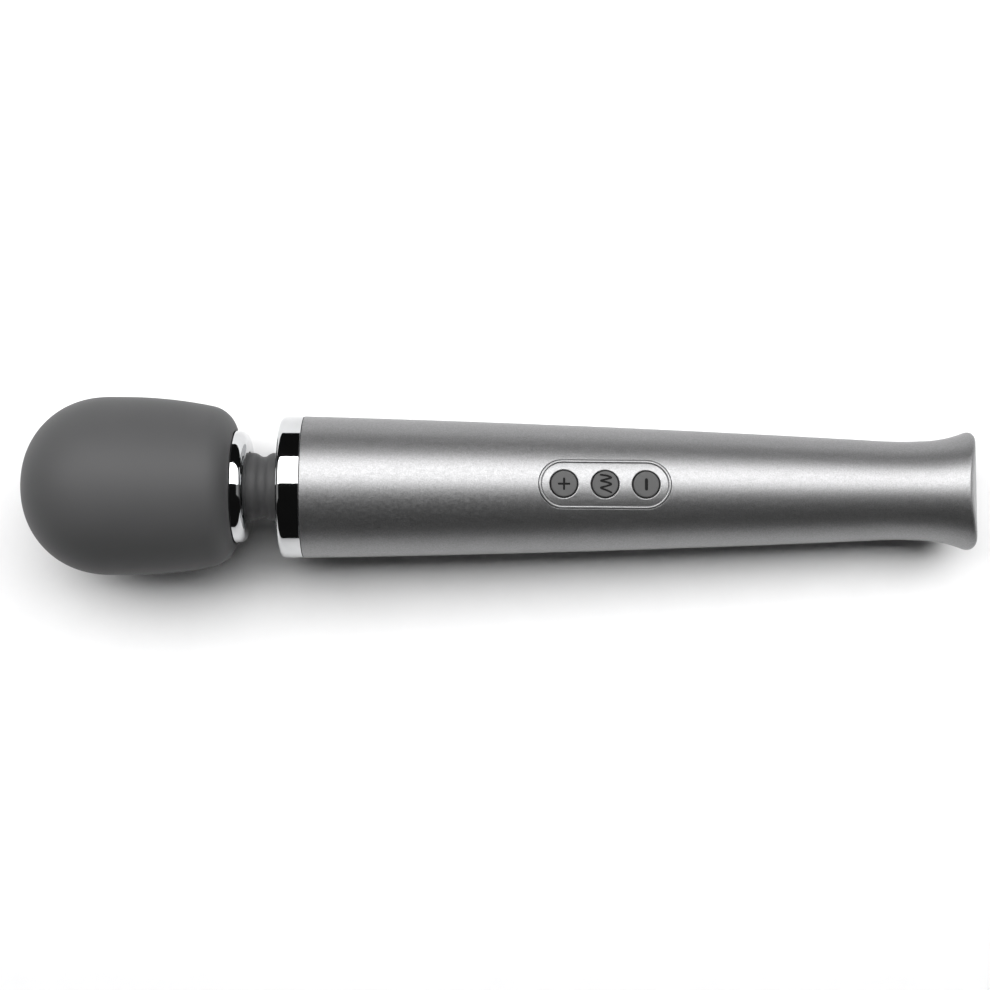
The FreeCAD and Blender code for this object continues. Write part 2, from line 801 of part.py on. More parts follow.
def make_motor_case():
    back = "motor_face + motor_length"
    inside = "motor_radius - motor_wall"
    turned(
        "motor_can",
        [
            ("motor_face", "motor_shaft + 0.05"),
            ("motor_face", "motor_radius"),
            (back, "motor_radius"),
            (back, inside),
            ("motor_face + motor_wall", inside),
            ("motor_face + motor_wall", "3.4"),
            ("motor_face + 4", "3.4"),
            ("motor_face + 4", "motor_shaft + 0.05"),
        ],
    )
    turned(
        "motor_end_bell",
        [
            (back, "motor_shaft + 0.05"),
            (back, "motor_radius"),
            (f"{back} + 2.5", "motor_radius"),
            (f"{back} + 2.5", "5"),
            (f"{back} + 4.6", "5"),
            (f"{back} + 4.6", "motor_shaft + 0.05"),
        ],
    )
    magnets = []
    for i, turn in enumerate((20.0, 200.0)):
        around = FreeCAD.Rotation(V(1, 0, 0), turn).multiply(ALONG_X)
        outer = rod(f"magnet_outer_{i}", ("motor_face + 7", "0", "0", around), inside, "22")
        outer.Angle = 140
        inner = rod(f"magnet_inner_{i}", ("motor_face + 6", "0", "0", around), "9.8", "24")
        magnets.append(cut(f"magnet_{i}", outer, inner))
    group("motor_magnets", magnets)
    terminals, brushes = [], []
    for i, side in enumerate((-1, 1)):
        blade = block(f"terminal_{i}", f"{back} + 2.5", f"{side} * 8.3", "0 - 1.4", "5.5", "0.5", "2.8")
        terminals.append(blade)
        brushes.append(block(f"brush_{i}", f"{back} - 3.1", f"{side} * 4.8", "0 - 1.2", "2.4", "3", "2.4"))
    group("motor_terminals", terminals)
    group("motor_brushes", brushes)


def make_rotor():
    turned(
        "motor_shaft",
        [
            ("motor_face - 3.4", "0"),
            ("motor_face - 3.4", "motor_shaft"),
            ("motor_face + motor_length + 4.3", "motor_shaft"),
            ("motor_face + motor_length + 4.3", "0"),
        ],
    )
    core = new_body("armature")
    revolve(
        core,
        [
            ("motor_face + 8", "motor_shaft"),
            ("motor_face + 8", "9.2"),
            ("motor_face + 28", "9.2"),
            ("motor_face + 28", "motor_shaft"),
        ],
    )
    for turn in (0.0, 120.0, 240.0):
        sketch = new_sketch(core, "YZ_Plane", "motor_face + 7")
        corners = [("4", -1.0), ("7.4", -2.6), ("7.4", -0.7), ("10", -0.7)]
        corners += [(reach, -side) for reach, side in reversed(corners)]
        add_loop(
            sketch,
            [
                (
                    f"{reach} * cos({turn}) - ({side}) * sin({turn})",
                    f"{reach} * sin({turn}) + ({side}) * cos({turn})",
                )
                for reach, side in corners
            ],
        )
        pocket(core, sketch, "22")
    keep(core, "armature")
    coils = []
    for i, start in enumerate(("motor_face + 5.4", "motor_face + 28")):
        outer = rod(f"winding_outer_{i}", (start, "0", "0", ALONG_X), "8.4", "2.6")
        inner = rod(f"winding_inner_{i}", (f"{start} - 1", "0", "0", ALONG_X), "3.6", "5")
        coils.append(cut(f"winding_{i}", outer, inner))
    group("windings", coils)
    tube("commutator", "motor_face + 30.7", "motor_face + 33.4", "motor_shaft", "3.2")
    turned(
        "motor_coupling",
        [
            ("flex_back - 3.3", "flex_radius + 0.15"),
            ("flex_back - 3.3", "sleeve_radius"),
            ("motor_face - 0.4", "sleeve_radius"),
            ("motor_face - 0.4", "motor_shaft"),
            ("flex_back + 0.1", "motor_shaft"),
            ("flex_back + 0.1", "flex_radius + 0.15"),
        ],
    )


def make_motor_retainer():
    start = "motor_face + motor_length + 2.55"
    body = new_body("motor_retainer")
    revolve(
        body,
        [
            (start, "11"),
            (start, "post_reach + 2.7"),
            (f"{start} + retainer_wall", "post_reach + 2.7"),
            (f"{start} + retainer_wall", "11"),
        ],
    )
    ring_of_holes(body, f"{start} - 1", "5", "1.3", "post_reach", 2)
    keep(body, "motor_retainer")
    seat = f"{start} + retainer_wall"
    screws = [
        screw(f"retainer_screw_{i}", (seat, y, z, BACKWARD), "1.25", "11", "2.2", "1.8")
        for i, (y, z) in enumerate(radial_spots("post_reach", 2, 0.0))
    ]
    group("retainer_screws", screws)


# ---------------------------------------------------------------- handle shell and tail


def pill(name, length, width, bottom, top):
    """Upright prism with round ends, centred on the button panel."""
    reach = f"(({length}) - ({width})) / 2"
    tall = f"({top}) - ({bottom})"
    ends = [
        rod(f"{name}_end_{i}", (f"panel_place + {side} * ({reach})", "0", bottom, UP), f"({width}) / 2", tall)
        for i, side in enumerate((-1, 1))
    ]
    middle = block(f"{name}_middle", f"panel_place - ({reach})", "0", bottom, f"2 * ({reach})", width, tall)
    return fuse(name, middle, *ends)


def tail_cylinder(name, inset):
    """Cylinder across the wand whose far side is the rounded end of the tail."""
    place = ("tail_end - tail_dome", "0 - 30", "0", ACROSS)
    return rod(name, place, f"tail_dome - ({inset})", "60")


def inside_tail(name, thing, inset):
    """What is left of a shape within the rounded end of the tail, moved inwards."""
    beyond = block(f"{name}_beyond", "tail_end - tail_dome", "0", "0 - 30", "60", "60", "60")
    return cut(name, thing, cut(f"{name}_cutter", beyond, tail_cylinder(f"{name}_dome", inset)))


def make_handle_shell():
    outer = new_body("shell_outer")
    revolve(
        outer,
        [
            ("shell_start", "0"),
            ("shell_start", "shell_start_radius"),
            ("barrel_end", "barrel_end_radius", "barrel_radius", "right"),
            ("waist", "waist_radius", "waist_arc", "left"),
            ("flare_start", "flare_start_radius", "waist_arc", "left"),
            ("flare_end", "flare_end_radius", "flare_arc", "left"),
            ("tail_end", "tail_flat", "tail_corner", "right"),
            ("tail_end", "0"),
        ],
    )
    trimmed = inside_tail("shell_trimmed", outer, "0")
    bore = new_body("shell_bore")
    revolve(
        bore,
        [
            ("shell_start - 1", "0"),
            ("shell_start - 1", "shell_start_radius - shell_wall"),
            ("shell_start", "shell_start_radius - shell_wall"),
            ("barrel_end", "barrel_end_radius - shell_wall", "barrel_radius - shell_wall", "right"),
            ("waist", "tail_bore"),
            ("tail_end + 1", "tail_bore"),
            ("tail_end + 1", "0"),
        ],
    )
    seat = rod("lid_seat_rod", ("flare_start", "0", "0", ALONG_X), "lid_radius + lid_gap", "30")
    floor = tail_cylinder("lid_seat_floor", "lid_depth + 0.3")
    window = pill("shell_window", "panel_length + 2 * panel_gap", "panel_width + 2 * panel_gap", "10", "30")
    keep(cut("handle_shell", trimmed, bore, cut("lid_seat", seat, floor), window), "handle_shell")


def make_end_cap():
    disc = rod("lid_disc", ("flare_start", "0", "0", ALONG_X), "lid_radius", "30")
    plate = cut("lid_plate", inside_tail("lid_dome", disc, "0"), tail_cylinder("lid_under", "lid_depth"))
    skirt = new_body("cap_skirt")
    revolve(
        skirt,
        [
            ("charge_board + 3.7", "tail_bore - 2.6"),
            ("charge_board + 3.7", "tail_bore - 0.6"),
            ("charge_board + 4.2", "tail_bore - 0.1"),
            ("326.1", "tail_bore - 0.1"),
            ("326.1", "tail_bore - 1.7"),
            ("327.9", "tail_bore - 1.7"),
            ("327.9", "tail_bore - 0.1"),
            ("tail_end", "tail_bore - 0.1"),
            ("tail_end", "tail_bore - 2.6"),
        ],
    )
    nose = rod("cap_nose", ("jack_face - 3.7", "0", "0", ALONG_X), "jack_nose + 2.1", "14")
    posts = [
        rod(f"cap_post_{i}", ("charge_board + charge_wall", f"{side} * 10.5", "0", ALONG_X), "2.4", "20")
        for i, side in enumerate((-1, 1))
    ]
    inside = inside_tail("cap_inside", fuse("cap_stack", skirt, nose, *posts), "lid_depth / 2")
    holes = [
        rod("port_recess", ("jack_face", "0", "0", ALONG_X), "port_radius", "14"),
        rod("jack_seat", ("jack_face - 14", "0", "0", ALONG_X), "jack_nose + 0.1", "14"),
    ]
    for i, side in enumerate((-1, 1)):
        place = ("charge_board + charge_wall - 1", f"{side} * 10.5", "0", ALONG_X)
        holes.append(rod(f"post_hole_{i}", place, "1.05", "9"))
    keep(cut("end_cap", fuse("cap_whole", plate, inside), *holes), "end_cap")

    ring = rod("gasket_disc", ("flare_start", "0", "0", ALONG_X), "lid_radius - 0.2", "30")
    layer = cut(
        "gasket_layer",
        inside_tail("gasket_dome", ring, "lid_depth + 0.02"),
        tail_cylinder("gasket_under", "lid_depth + 0.28"),
    )
    hole = rod("gasket_hole", ("tail_end - 30", "0", "0", ALONG_X), "tail_bore + 0.1", "40")
    keep(cut("tail_gasket", layer, hole), "tail_gasket")
    o_ring = solid(
        "Part::Torus",
        "cap_o_ring",
        ("327", "0", "0", ALONG_X),
        Radius1="tail_bore - 0.88",
        Radius2="0.8",
    )
    group("end_cap_o_ring", [o_ring])


# ---------------------------------------------------------------- button panel


def panel_ring(name, low, high):
    """Part of the barrel's wall around the panel, between two depths below its surface."""
    body = new_body(name)
    front, back = "panel_front_radius", "panel_back_radius"
    revolve(
        body,
        [
            ("panel_front", f"{front} - ({high})"),
            ("panel_back", f"{back} - ({high})", f"barrel_radius - ({high})", "right"),
            ("panel_back", f"{back} - ({low})"),
            ("panel_front", f"{front} - ({low})", f"barrel_radius - ({low})", "left"),
        ],
    )
    return body


def make_control_panel():
    inner_length, inner_width = "panel_length - 2 * bead_width", "panel_width - 2 * bead_width"
    lip = "2 * panel_lip"
    plate = common(
        "panel_plate",
        panel_ring("panel_plate_turn", "panel_wall", "panel_sink"),
        pill("panel_inner", inner_length, inner_width, "10", "30"),
    )
    frame = cut(
        "panel_frame",
        pill("panel_outer", "panel_length", "panel_width", "10", "30"),
        pill("panel_hollow", inner_length, inner_width, "9", "31"),
    )
    bead = common("panel_bead", panel_ring("panel_bead_turn", "panel_wall", "0 - bead_height"), frame)
    flange = common(
        "panel_flange",
        panel_ring("panel_flange_turn", "shell_wall + 1.3", "shell_wall + 0.1"),
        pill("panel_flange_pill", f"panel_length + {lip}", f"panel_width + {lip}", "10", "30"),
    )
    holes = [
        rod(f"{key}_hole", (f"{key}_place", "0", "10", UP), "key_radius + key_gap", "20")
        for key in KEY_NAMES
    ]
    keep(cut("control_panel", fuse("panel_whole", plate, bead, flange), *holes), "control_panel")


def stroke(name, place, ends, width, height):
    """A round-ended bar above the given height; its two ends are given from a place on the wand's axis."""
    (ax, ay), (bx, by) = ends
    lean = FreeCAD.Rotation(V(0, 0, 1), math.degrees(math.atan2(by - ay, bx - ax)))
    side = lean.multVec(V(0, -width / 2, 0))
    start = (f"{place} + ({ax + side.x:.4f})", f"{ay + side.y:.4f}", height, lean)
    run = math.hypot(bx - ax, by - ay)
    bar = solid("Part::Box", f"{name}_bar", start, Length=run, Width=width, Height="2 * icon_depth")
    caps = [
        rod(f"{name}_end_{i}", (f"{place} + ({x})", y, height, UP), width / 2, "2 * icon_depth")
        for i, (x, y) in enumerate(ends)
    ]
    return fuse(name, bar, *caps)


WAVE_TURNS = [(-1.6, 3.2), (1.9, 2.0), (-1.4, 1.0), (1.9, -0.3), (-1.4, -1.4), (1.9, -3.0)]
ICONS = {
    "plus": [(((-1.8, 0), (1.8, 0)), 0.6), (((0, -1.8), (0, 1.8)), 0.6)],
    "mode": [(ends, 0.6) for ends in zip(WAVE_TURNS, WAVE_TURNS[1:])],
    "minus": [(((0, -1.5), (0, 1.5)), 1.0)],
}


def make_key(name):
    centre, top = f"{name}_place", f"{name}_top"
    floor, low = f"{top} - key_drop", "board_top + switch_tall - 0.5"
    cap = rod(f"{name}_cap", (centre, "0", floor, UP), "key_radius", "key_drop")
    flange = rod(f"{name}_flange", (centre, "0", f"{floor} - key_web", UP), "key_flange", "key_web")
    stem = rod(f"{name}_stem", (centre, "0", "plunger_top", UP), "1.5", f"{floor} - plunger_top")
    recess = [
        stroke(f"{name}_stroke_{i}", centre, ends, width, f"{top} - icon_depth")
        for i, (ends, width) in enumerate(ICONS[name])
    ]
    keep(cut(f"button_{name}", fuse(f"{name}_whole", cap, flange, stem), *recess), f"button_{name}")
    pin = rod(f"{name}_plunger_pin", (centre, "0", low, UP), "plunger_radius", f"plunger_top - ({low})")
    group(f"switch_plunger_{name}", [pin])


def make_switches():
    switches = []
    for key in KEY_NAMES:
        start, side = f"{key}_place - switch_side / 2", "switch_side"
        case = block(f"{key}_switch_case", start, "0", "board_top", side, side, "switch_tall")
        place = (f"{key}_place", "0", "board_top + 1.6", UP)
        well = rod(f"{key}_switch_well", place, "plunger_radius + 0.08", "4")
        switches.append(cut(f"{key}_switch", case, well))
    group("tact_switches", switches)


# ---------------------------------------------------------------- electronics


COVER_SCREWS = [(x, y) for x in ("154", "278") for y in ("0 - 11", "11")]
BOARD_SCREWS = [(x, y) for x in ("board_start + 4", "board_start + 46") for y in ("0 - 8.6", "8.6")]


def make_chassis():
    length = "tray_back - tray_front"
    gap = "shell_wall + 0.4"
    hull = solid(
        "Part::Cone",
        "tray_cone",
        ("tray_front", "0", "0", ALONG_X),
        Radius1=f"tray_front_radius - ({gap})",
        Radius2=f"tray_back_radius - ({gap})",
        Height=length,
    )
    slab = block("tray_slab", "tray_front", "0", "0 - 26", length, "tray_width", "26 + tray_top")
    start, run, wide = "tray_front + 1", f"{length} - 2", "2 * cell_radius + 0.4"
    trough = rod("tray_trough", (start, "0", "0 - cell_drop", ALONG_X), "cell_radius + 0.2", run)
    mouth = block("tray_mouth", start, "0", "0 - cell_drop", run, wide, "20")
    holes = [
        rod(f"tray_hole_{i}", (x, y, "tray_top - 6", UP), "0.95", "8")
        for i, (x, y) in enumerate(COVER_SCREWS)
    ]
    keep(cut("chassis", common("tray_blank", hull, slab), trough, mouth, *holes), "chassis")


def make_cell_cover():
    bottom = "tray_top + 0.05"
    plate = block("cover_plate_blank", "151", "0", bottom, "131", "tray_width - 0.2", "cover_plate")
    posts = [
        rod(f"cover_post_{i}", (x, y, bottom, UP), "2.3", f"board_top - board_wall - ({bottom})")
        for i, (x, y) in enumerate(BOARD_SCREWS)
    ]
    holes = [rod(f"cover_hole_{i}", (x, y, "0", UP), "1.05", "10") for i, (x, y) in enumerate(COVER_SCREWS)]
    holes += [
        rod(f"post_bore_{i}", (x, y, "board_top - 8", UP), "0.95", "10")
        for i, (x, y) in enumerate(BOARD_SCREWS)
    ]
    keep(cut("cell_cover", fuse("cover_stack", plate, *posts), *holes), "cell_cover")
    seat = f"{bottom} + cover_plate"
    small_screws.extend(
        screw(f"cover_screw_{i}", (x, y, seat, ALONG_X), "0.9", "6", "1.7", "1.3")
        for i, (x, y) in enumerate(COVER_SCREWS)
    )


def make_cells():
    for i in range(2):
        start = f"cell_start + {i} * cell_pitch"
        body = new_body(f"battery_cell_{i + 1}")
        revolve(
            body,
            [
                (start, "0"),
                (start, "cell_radius - 0.6"),
                (f"{start} + 0.5", "cell_radius - 0.05"),
                (f"{start} + cell_length - 1.1", "cell_radius - 0.05"),
                (f"{start} + cell_length - 0.6", "cell_radius - 0.7"),
                (f"{start} + cell_length - 0.6", "3"),
                (f"{start} + cell_length", "3"),
                (f"{start} + cell_length", "0"),
            ],
        )
        body.Placement = FreeCAD.Placement(V(0, 0, -size("cell_drop")), UP)
        keep(body, f"battery_cell_{i + 1}")
    tabs = [
        ("cell_start - 0.35", "0.3"),
        ("cell_start + cell_length + 0.05", "cell_pitch - cell_length - 0.1"),
        ("cell_start + cell_pitch + cell_length + 0.05", "0.3"),
    ]
    plates = [
        block(f"cell_tab_{i}", start, "0", "0 - cell_drop - 4", thick, "6", "10")
        for i, (start, thick) in enumerate(tabs)
    ]
    group("cell_tabs", plates)


def make_main_board():
    bottom = "board_top - board_wall"
    plate = block("board_blank", "board_start", "0", bottom, "board_length", "board_width", "board_wall")
    holes = [rod(f"board_hole_{i}", (x, y, "0", UP), "1.05", "20") for i, (x, y) in enumerate(BOARD_SCREWS)]
    keep(cut("main_board", plate, *holes), "main_board")
    small_screws.extend(
        screw(f"board_screw_{i}", (x, y, "board_top", ALONG_X), "0.9", "6", "1.7", "1.3")
        for i, (x, y) in enumerate(BOARD_SCREWS)
    )
    chips = [
        ("mode_place - 3", "7.4", "6", "5", "1"),
        ("plus_place + 3.5", "0 - 7.4", "4", "4", "1.1"),
        ("mode_place + 3.6", "0 - 7.6", "5", "5", "2.4"),
        ("minus_place - 5.4", "7.6", "3.2", "1.6", "0.8"),
        ("board_start + 0.4", "0", "4.4", "9", "3"),
        ("board_start + 46.4", "0", "4.2", "9", "3"),
    ]
    pieces = [
        block(f"board_chip_{i}", x, y, "board_top", *sizes) for i, (x, y, *sizes) in enumerate(chips)
    ]
    for i, y in enumerate(("0 - 5.2", "0 - 8.9")):
        pieces.append(rod(f"board_can_{i}", ("mode_place - 5.4", y, "board_top", UP), "1.6", "3"))
    group("board_parts", pieces)


def make_charging():
    disc = rod("charge_disc", ("charge_board", "0", "0", ALONG_X), "tail_bore - 2.8", "charge_wall")
    holes = [
        rod(f"charge_hole_{i}", ("charge_board - 1", f"{side} * 10.5", "0", ALONG_X), "1.05", "5")
        for i, side in enumerate((-1, 1))
    ]
    keep(cut("charge_board", disc, *holes), "charge_board")
    small_screws.extend(
        screw(f"charge_screw_{i}", ("charge_board", f"{side} * 10.5", "0", UP), "0.9", "6", "1.7", "1.3")
        for i, side in enumerate((-1, 1))
    )
    back = "charge_board + charge_wall"
    case = block("jack_case", back, "0", "0 - 4.5", f"jack_face - 3.9 - ({back})", "9", "9")
    nose = rod("jack_nose_rod", ("jack_face - 4", "0", "0", ALONG_X), "jack_nose", "4")
    bore = rod("jack_well", ("jack_bottom", "0", "0", ALONG_X), "jack_bore", "14")
    keep(cut("charge_jack", fuse("jack_whole", case, nose), bore), "charge_jack")
    turned(
        "jack_pin",
        [
            ("jack_bottom", "0"),
            ("jack_bottom", "jack_pin"),
            ("jack_face - 1.4", "jack_pin"),
            ("jack_face - 1", "jack_pin - 0.4"),
            ("jack_face - 1", "0"),
        ],
    )


def wire(name, points, thick=0.6):
    """Insulated lead: straight runs joined by arcs of 0.45 of the shorter run beside each bend."""
    points = [V(*p) for p in points]
    edges, last = [], points[0]
    for a, b, c in zip(points, points[1:], points[2:]):
        back, ahead = (a - b).normalize(), (c - b).normalize()
        trim = 0.45 * min((a - b).Length, (c - b).Length)
        start, end = b + back * trim, b + ahead * trim
        turn = math.pi - back.getAngle(ahead)
        middle_way = (back + ahead).normalize()
        radius = trim / math.tan(turn / 2)
        middle = b + middle_way * (math.hypot(radius, trim) - radius)
        edges += [Part.LineSegment(last, start).toShape(), Part.Arc(start, middle, end).toShape()]
        last = end
    edges.append(Part.LineSegment(last, points[-1]).toShape())
    path = Part.Wire(edges)
    section = Part.Wire(Part.Circle(points[0], points[1] - points[0], thick).toShape())
    thing = doc.addObject("Part::Feature", name)
    thing.Shape = path.makePipeShell([section], True, False)
    return thing


MOTOR_LEAD = [
    (139.51, 8.3, 0), (142.2, 8.3, 0), (145.6, 8, 9.5), (157, 6, 12.6), (170, 3.4, 13.6), (178.35, 3, 13.6)
]
CHARGE_LEAD = [
    (317.22, 3, 5), (308, 3, 6), (296, 3, 8.5), (280, 3, 9.5), (250, 3, 12), (236, 3, 13.4), (228.61, 3, 13.5)
]
FRONT_CELL_LEAD = [(148.53, 0, -2), (148.53, 0, 6), (152, 0, 11), (164, 0, 13.2), (178.39, 0, 13.6)]
REAR_CELL_LEAD = [
    (283.47, 0, -2), (283.47, 0, 6), (279, 0, 9.5), (262, 0, 10.6), (240, 0, 13), (228.61, 0, 13.6)
]


def pair_of_leads(label, points):
    """The same lead on both sides of the wand."""
    leads = [
        wire(f"{label}_{i}", [(x, side * y, z) for x, y, z in points]) for i, side in enumerate((-1, 1))
    ]
    group(label, leads)


def make_wiring():
    pair_of_leads("motor_leads", MOTOR_LEAD)
    pair_of_leads("charge_leads", CHARGE_LEAD)
    group("cell_leads", [wire("front_cell_lead", FRONT_CELL_LEAD), wire("rear_cell_lead", REAR_CELL_LEAD)])


# ---------------------------------------------------------------- build


small_screws = []
make_head_cover()
make_head_core_front()
make_head_core_rear()
make_head_ring()
make_head_screws()
make_bearing("front_bearing", "front_bearing")
make_bearing("rear_bearing", "rear_bearing")
make_eccentric()
make_neck_boot()
make_neck_spring()
make_flex_shaft()
make_collar()
make_front_bulkhead()
make_motor_case()
make_rotor()
make_motor_retainer()
make_handle_shell()
make_end_cap()
make_control_panel()
for key in KEY_NAMES:
    make_key(key)
make_switches()
make_chassis()
make_cell_cover()
make_cells()
make_main_board()
make_charging()
make_wiring()
group("small_screws", small_screws)
doc.recompute()

# ---------------------------------------------------------------- lay the wand on the floor


def lowest(labels, placement):
    """Lowest point of the named sub-parts once they are placed."""
    heights = []
    for thing in subparts:
        if thing.Label in labels:
            shape = thing.Shape.copy()
            shape.Placement = placement.multiply(shape.Placement)
            heights.append(shape.optimalBoundingBox(False).ZMin)
    return min(heights)


def lean(degrees):
    return FreeCAD.Placement(V(0, 0, 0), FreeCAD.Rotation(V(0, 1, 0), degrees))


def resting_angle():
    """The angle at which the head and the tail touch the floor together, by the secant method."""

    def gap(degrees):
        return lowest(["head_cover"], lean(degrees)) - lowest(["handle_shell"], lean(degrees))

    a, b = 2.0, 2.6
    gap_a, gap_b = gap(a), gap(b)
    for _ in range(6):
        if abs(gap_b) < 0.0005:
            break
        a, b, gap_a = b, b - gap_b * (b - a) / (gap_b - gap_a), gap_b
        gap_b = gap(b)
    return b


angle = resting_angle()
tilted = lean(angle)
lift = -lowest(["head_cover", "handle_shell"], tilted)
reach = [thing.Shape.copy() for thing in subparts if thing.Label in ("head_cover", "end_cap", "handle_shell")]
for shape in reach:
    shape.Placement = tilted.multiply(shape.Placement)
boxes = [shape.optimalBoundingBox(False) for shape in reach]
middle = (min(box.XMin for box in boxes) + max(box.XMax for box in boxes)) / 2
lay = FreeCAD.Placement(V(-middle, 0, lift), tilted.Rotation)
for thing in subparts:
    thing.Placement = lay.multiply(thing.Placement)
doc.recompute()

# ---------------------------------------------------------------- check and write

for thing in doc.Objects:
    if any(word in thing.State for word in ("Invalid", "Error")):
        raise RuntimeError(f"{thing.Name} failed: {thing.State}")
for thing in subparts:
    if thing.Shape.isNull() or not thing.Shape.isValid():
        raise RuntimeError(f"{thing.Label} has no valid shape")

os.makedirs("parts", exist_ok=True)
for thing in subparts:
    thing.Shape.exportStep(f"parts/{thing.Label}.step")
    box = thing.Shape.optimalBoundingBox(False)
    low = f"{box.XMin:8.2f} {box.YMin:7.2f} {box.ZMin:7.2f}"
    high = f"{box.XMax:8.2f} {box.YMax:7.2f} {box.ZMax:7.2f}"
    print(f"{thing.Label:26s}{thing.Shape.Volume:11.1f} {len(thing.Shape.Solids):3d}  {low}  {high}")
print(f"{len(subparts)} sub-parts, leaning {angle:.4f} degrees, moved by {-middle:.4f} and {lift:.4f}")
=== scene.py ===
import json
import math

import bmesh
import bpy
import numpy as np
from mathutils import Matrix, Vector
from mathutils.geometry import delaunay_2d_cdt


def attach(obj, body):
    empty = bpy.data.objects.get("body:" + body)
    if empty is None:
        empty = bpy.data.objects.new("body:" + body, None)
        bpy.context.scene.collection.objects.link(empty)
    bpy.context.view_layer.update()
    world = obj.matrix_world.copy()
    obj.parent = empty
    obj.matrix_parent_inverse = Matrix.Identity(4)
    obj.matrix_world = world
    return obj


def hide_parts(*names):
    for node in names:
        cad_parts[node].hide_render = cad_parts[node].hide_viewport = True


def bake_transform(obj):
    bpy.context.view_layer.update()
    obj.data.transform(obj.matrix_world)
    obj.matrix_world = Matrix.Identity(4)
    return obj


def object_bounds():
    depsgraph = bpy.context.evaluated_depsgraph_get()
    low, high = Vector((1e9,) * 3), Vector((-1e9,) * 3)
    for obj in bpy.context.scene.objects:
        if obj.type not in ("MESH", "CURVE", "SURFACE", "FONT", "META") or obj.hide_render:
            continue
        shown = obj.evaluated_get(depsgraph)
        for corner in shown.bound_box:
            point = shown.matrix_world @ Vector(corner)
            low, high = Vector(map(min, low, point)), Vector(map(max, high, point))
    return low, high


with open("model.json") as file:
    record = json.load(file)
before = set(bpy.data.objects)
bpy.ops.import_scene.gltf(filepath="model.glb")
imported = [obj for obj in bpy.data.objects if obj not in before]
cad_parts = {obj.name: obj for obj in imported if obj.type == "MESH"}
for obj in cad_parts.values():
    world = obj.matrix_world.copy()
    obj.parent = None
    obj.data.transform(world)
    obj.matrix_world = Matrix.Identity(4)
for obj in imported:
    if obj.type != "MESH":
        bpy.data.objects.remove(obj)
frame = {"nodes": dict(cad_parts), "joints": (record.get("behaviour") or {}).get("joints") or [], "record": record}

# Looks for a handheld wand massager that lies on its back. Shapes are drawn in millimetres in the wand's
# own frame (X from the head's tip to the tail, Z towards the buttons), and WAND carries them into the
# row's frame.

cad_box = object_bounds()

MM = 0.001
PIVOT_PLACE = 84.0  # the neck's pivot, from the head's tip
JOINTS = {joint["name"]: joint for joint in frame["joints"]}
ALONG = Vector(JOINTS["eccentric_spin"]["axis"])
UPWARD = Vector(JOINTS["neck_yaw"]["axis"])
ACROSS = UPWARD.cross(ALONG)
TIP = Vector(JOINTS["neck_pitch"]["pos_m"]) - ALONG * PIVOT_PLACE * MM
AXES = Matrix((ALONG, ACROSS, UPWARD)).transposed().to_4x4()
WAND = Matrix.Translation(TIP) @ AXES @ Matrix.Scale(MM, 4)


def extent(node):
    """Lowest and highest corners of a CAD node in the wand's own frame, in millimetres."""
    mesh = frame["nodes"][node].data
    points = np.empty(len(mesh.vertices) * 3)
    mesh.vertices.foreach_get("co", points)
    back = np.array(WAND.inverted())
    points = points.reshape(-1, 3) @ back[:3, :3].T + back[:3, 3]
    return Vector(points.min(0)), Vector(points.max(0))


# ---------------------------------------------------------------- sizes

HEAD_RADIUS = extent("head_cover")[1].y
TIP_ARC, TIP_ANGLE = 44.8, math.radians(9.7)
SHOULDER_ARC, SHOULDER_ANGLE = 28.5, math.radians(77.8)
SIDE_ARC = 37.1
BAND_LENGTH = 6.0
TAPER_ARC, TAPER_ANGLE = 150.0, math.radians(11.4)
CORNER_ARC = 9.9
RIM_RADIUS = 20.2

RING_START, RING_END = extent("head_ring")[0].x, extent("head_ring")[1].x
RING_RADIUS = extent("head_ring")[1].y
RING_CORNER = 4.0
RING_WALL = 1.5

BOOT_RADIUS = extent("neck_boot")[1].y
BOOT_FRONT, BOOT_BACK = extent("neck_boot")[0].x, extent("neck_boot")[1].x
GROOVE_HALF, GROOVE_DEPTH, GROOVE_SHOULDER = 3.7, 1.4, 3.2
SLEEVE_RADIUS = BOOT_RADIUS + 0.35  # the hole round the boot in the ring and in the collar

COLLAR_FRONT, SEAM = extent("collar")[0].x, extent("collar")[1].x
COLLAR_RADIUS = extent("collar")[1].y
COLLAR_CORNER = 2.0
COLLAR_WALL = 1.6

SHELL_START, TAIL_END = extent("handle_shell")[0].x, extent("handle_shell")[1].x
BARREL_ARC, BARREL_END, BARREL_END_RADIUS = 7000.0, 302.0, 18.05
WAIST, WAIST_RADIUS = 312.0, 17.74
FLARE_START, FLARE_ARC = 322.1, 45.0
TAIL_DOME = 30.0
LID_RADIUS = extent("end_cap")[1].y
LID_GAP = 0.35
LID_ROUND = 0.5
SEAM_DEPTH = 2.2
PORT_RADIUS = 4.0
PORT_ROUND = 0.45
JACK_FACE = extent("charge_jack")[1].x

PANEL_PLACE, PANEL_LENGTH, PANEL_WIDTH = 203.0, 46.1, 17.0
PANEL_REACH = (PANEL_LENGTH - PANEL_WIDTH) / 2
PANEL_DEPTH = 1.4
OPENING_GAP = 0.15
KEYS = {name: sum(extent(f"button_{name}"), Vector()) / 2 for name in ("plus", "mode", "minus")}
KEY_RADIUS, KEY_GAP = 4.5, 0.35
KEY_HOLE = KEY_RADIUS + KEY_GAP
KEY_MOUTH = 0.4
KEY_EDGE = 0.5
FLANGE_RADIUS, FLANGE_TOP, FLANGE_BOTTOM = 5.0, 4.3, 5.1
STEM_RADIUS = 1.5
ICON_DEPTH = 0.3

# ---------------------------------------------------------------- outlines


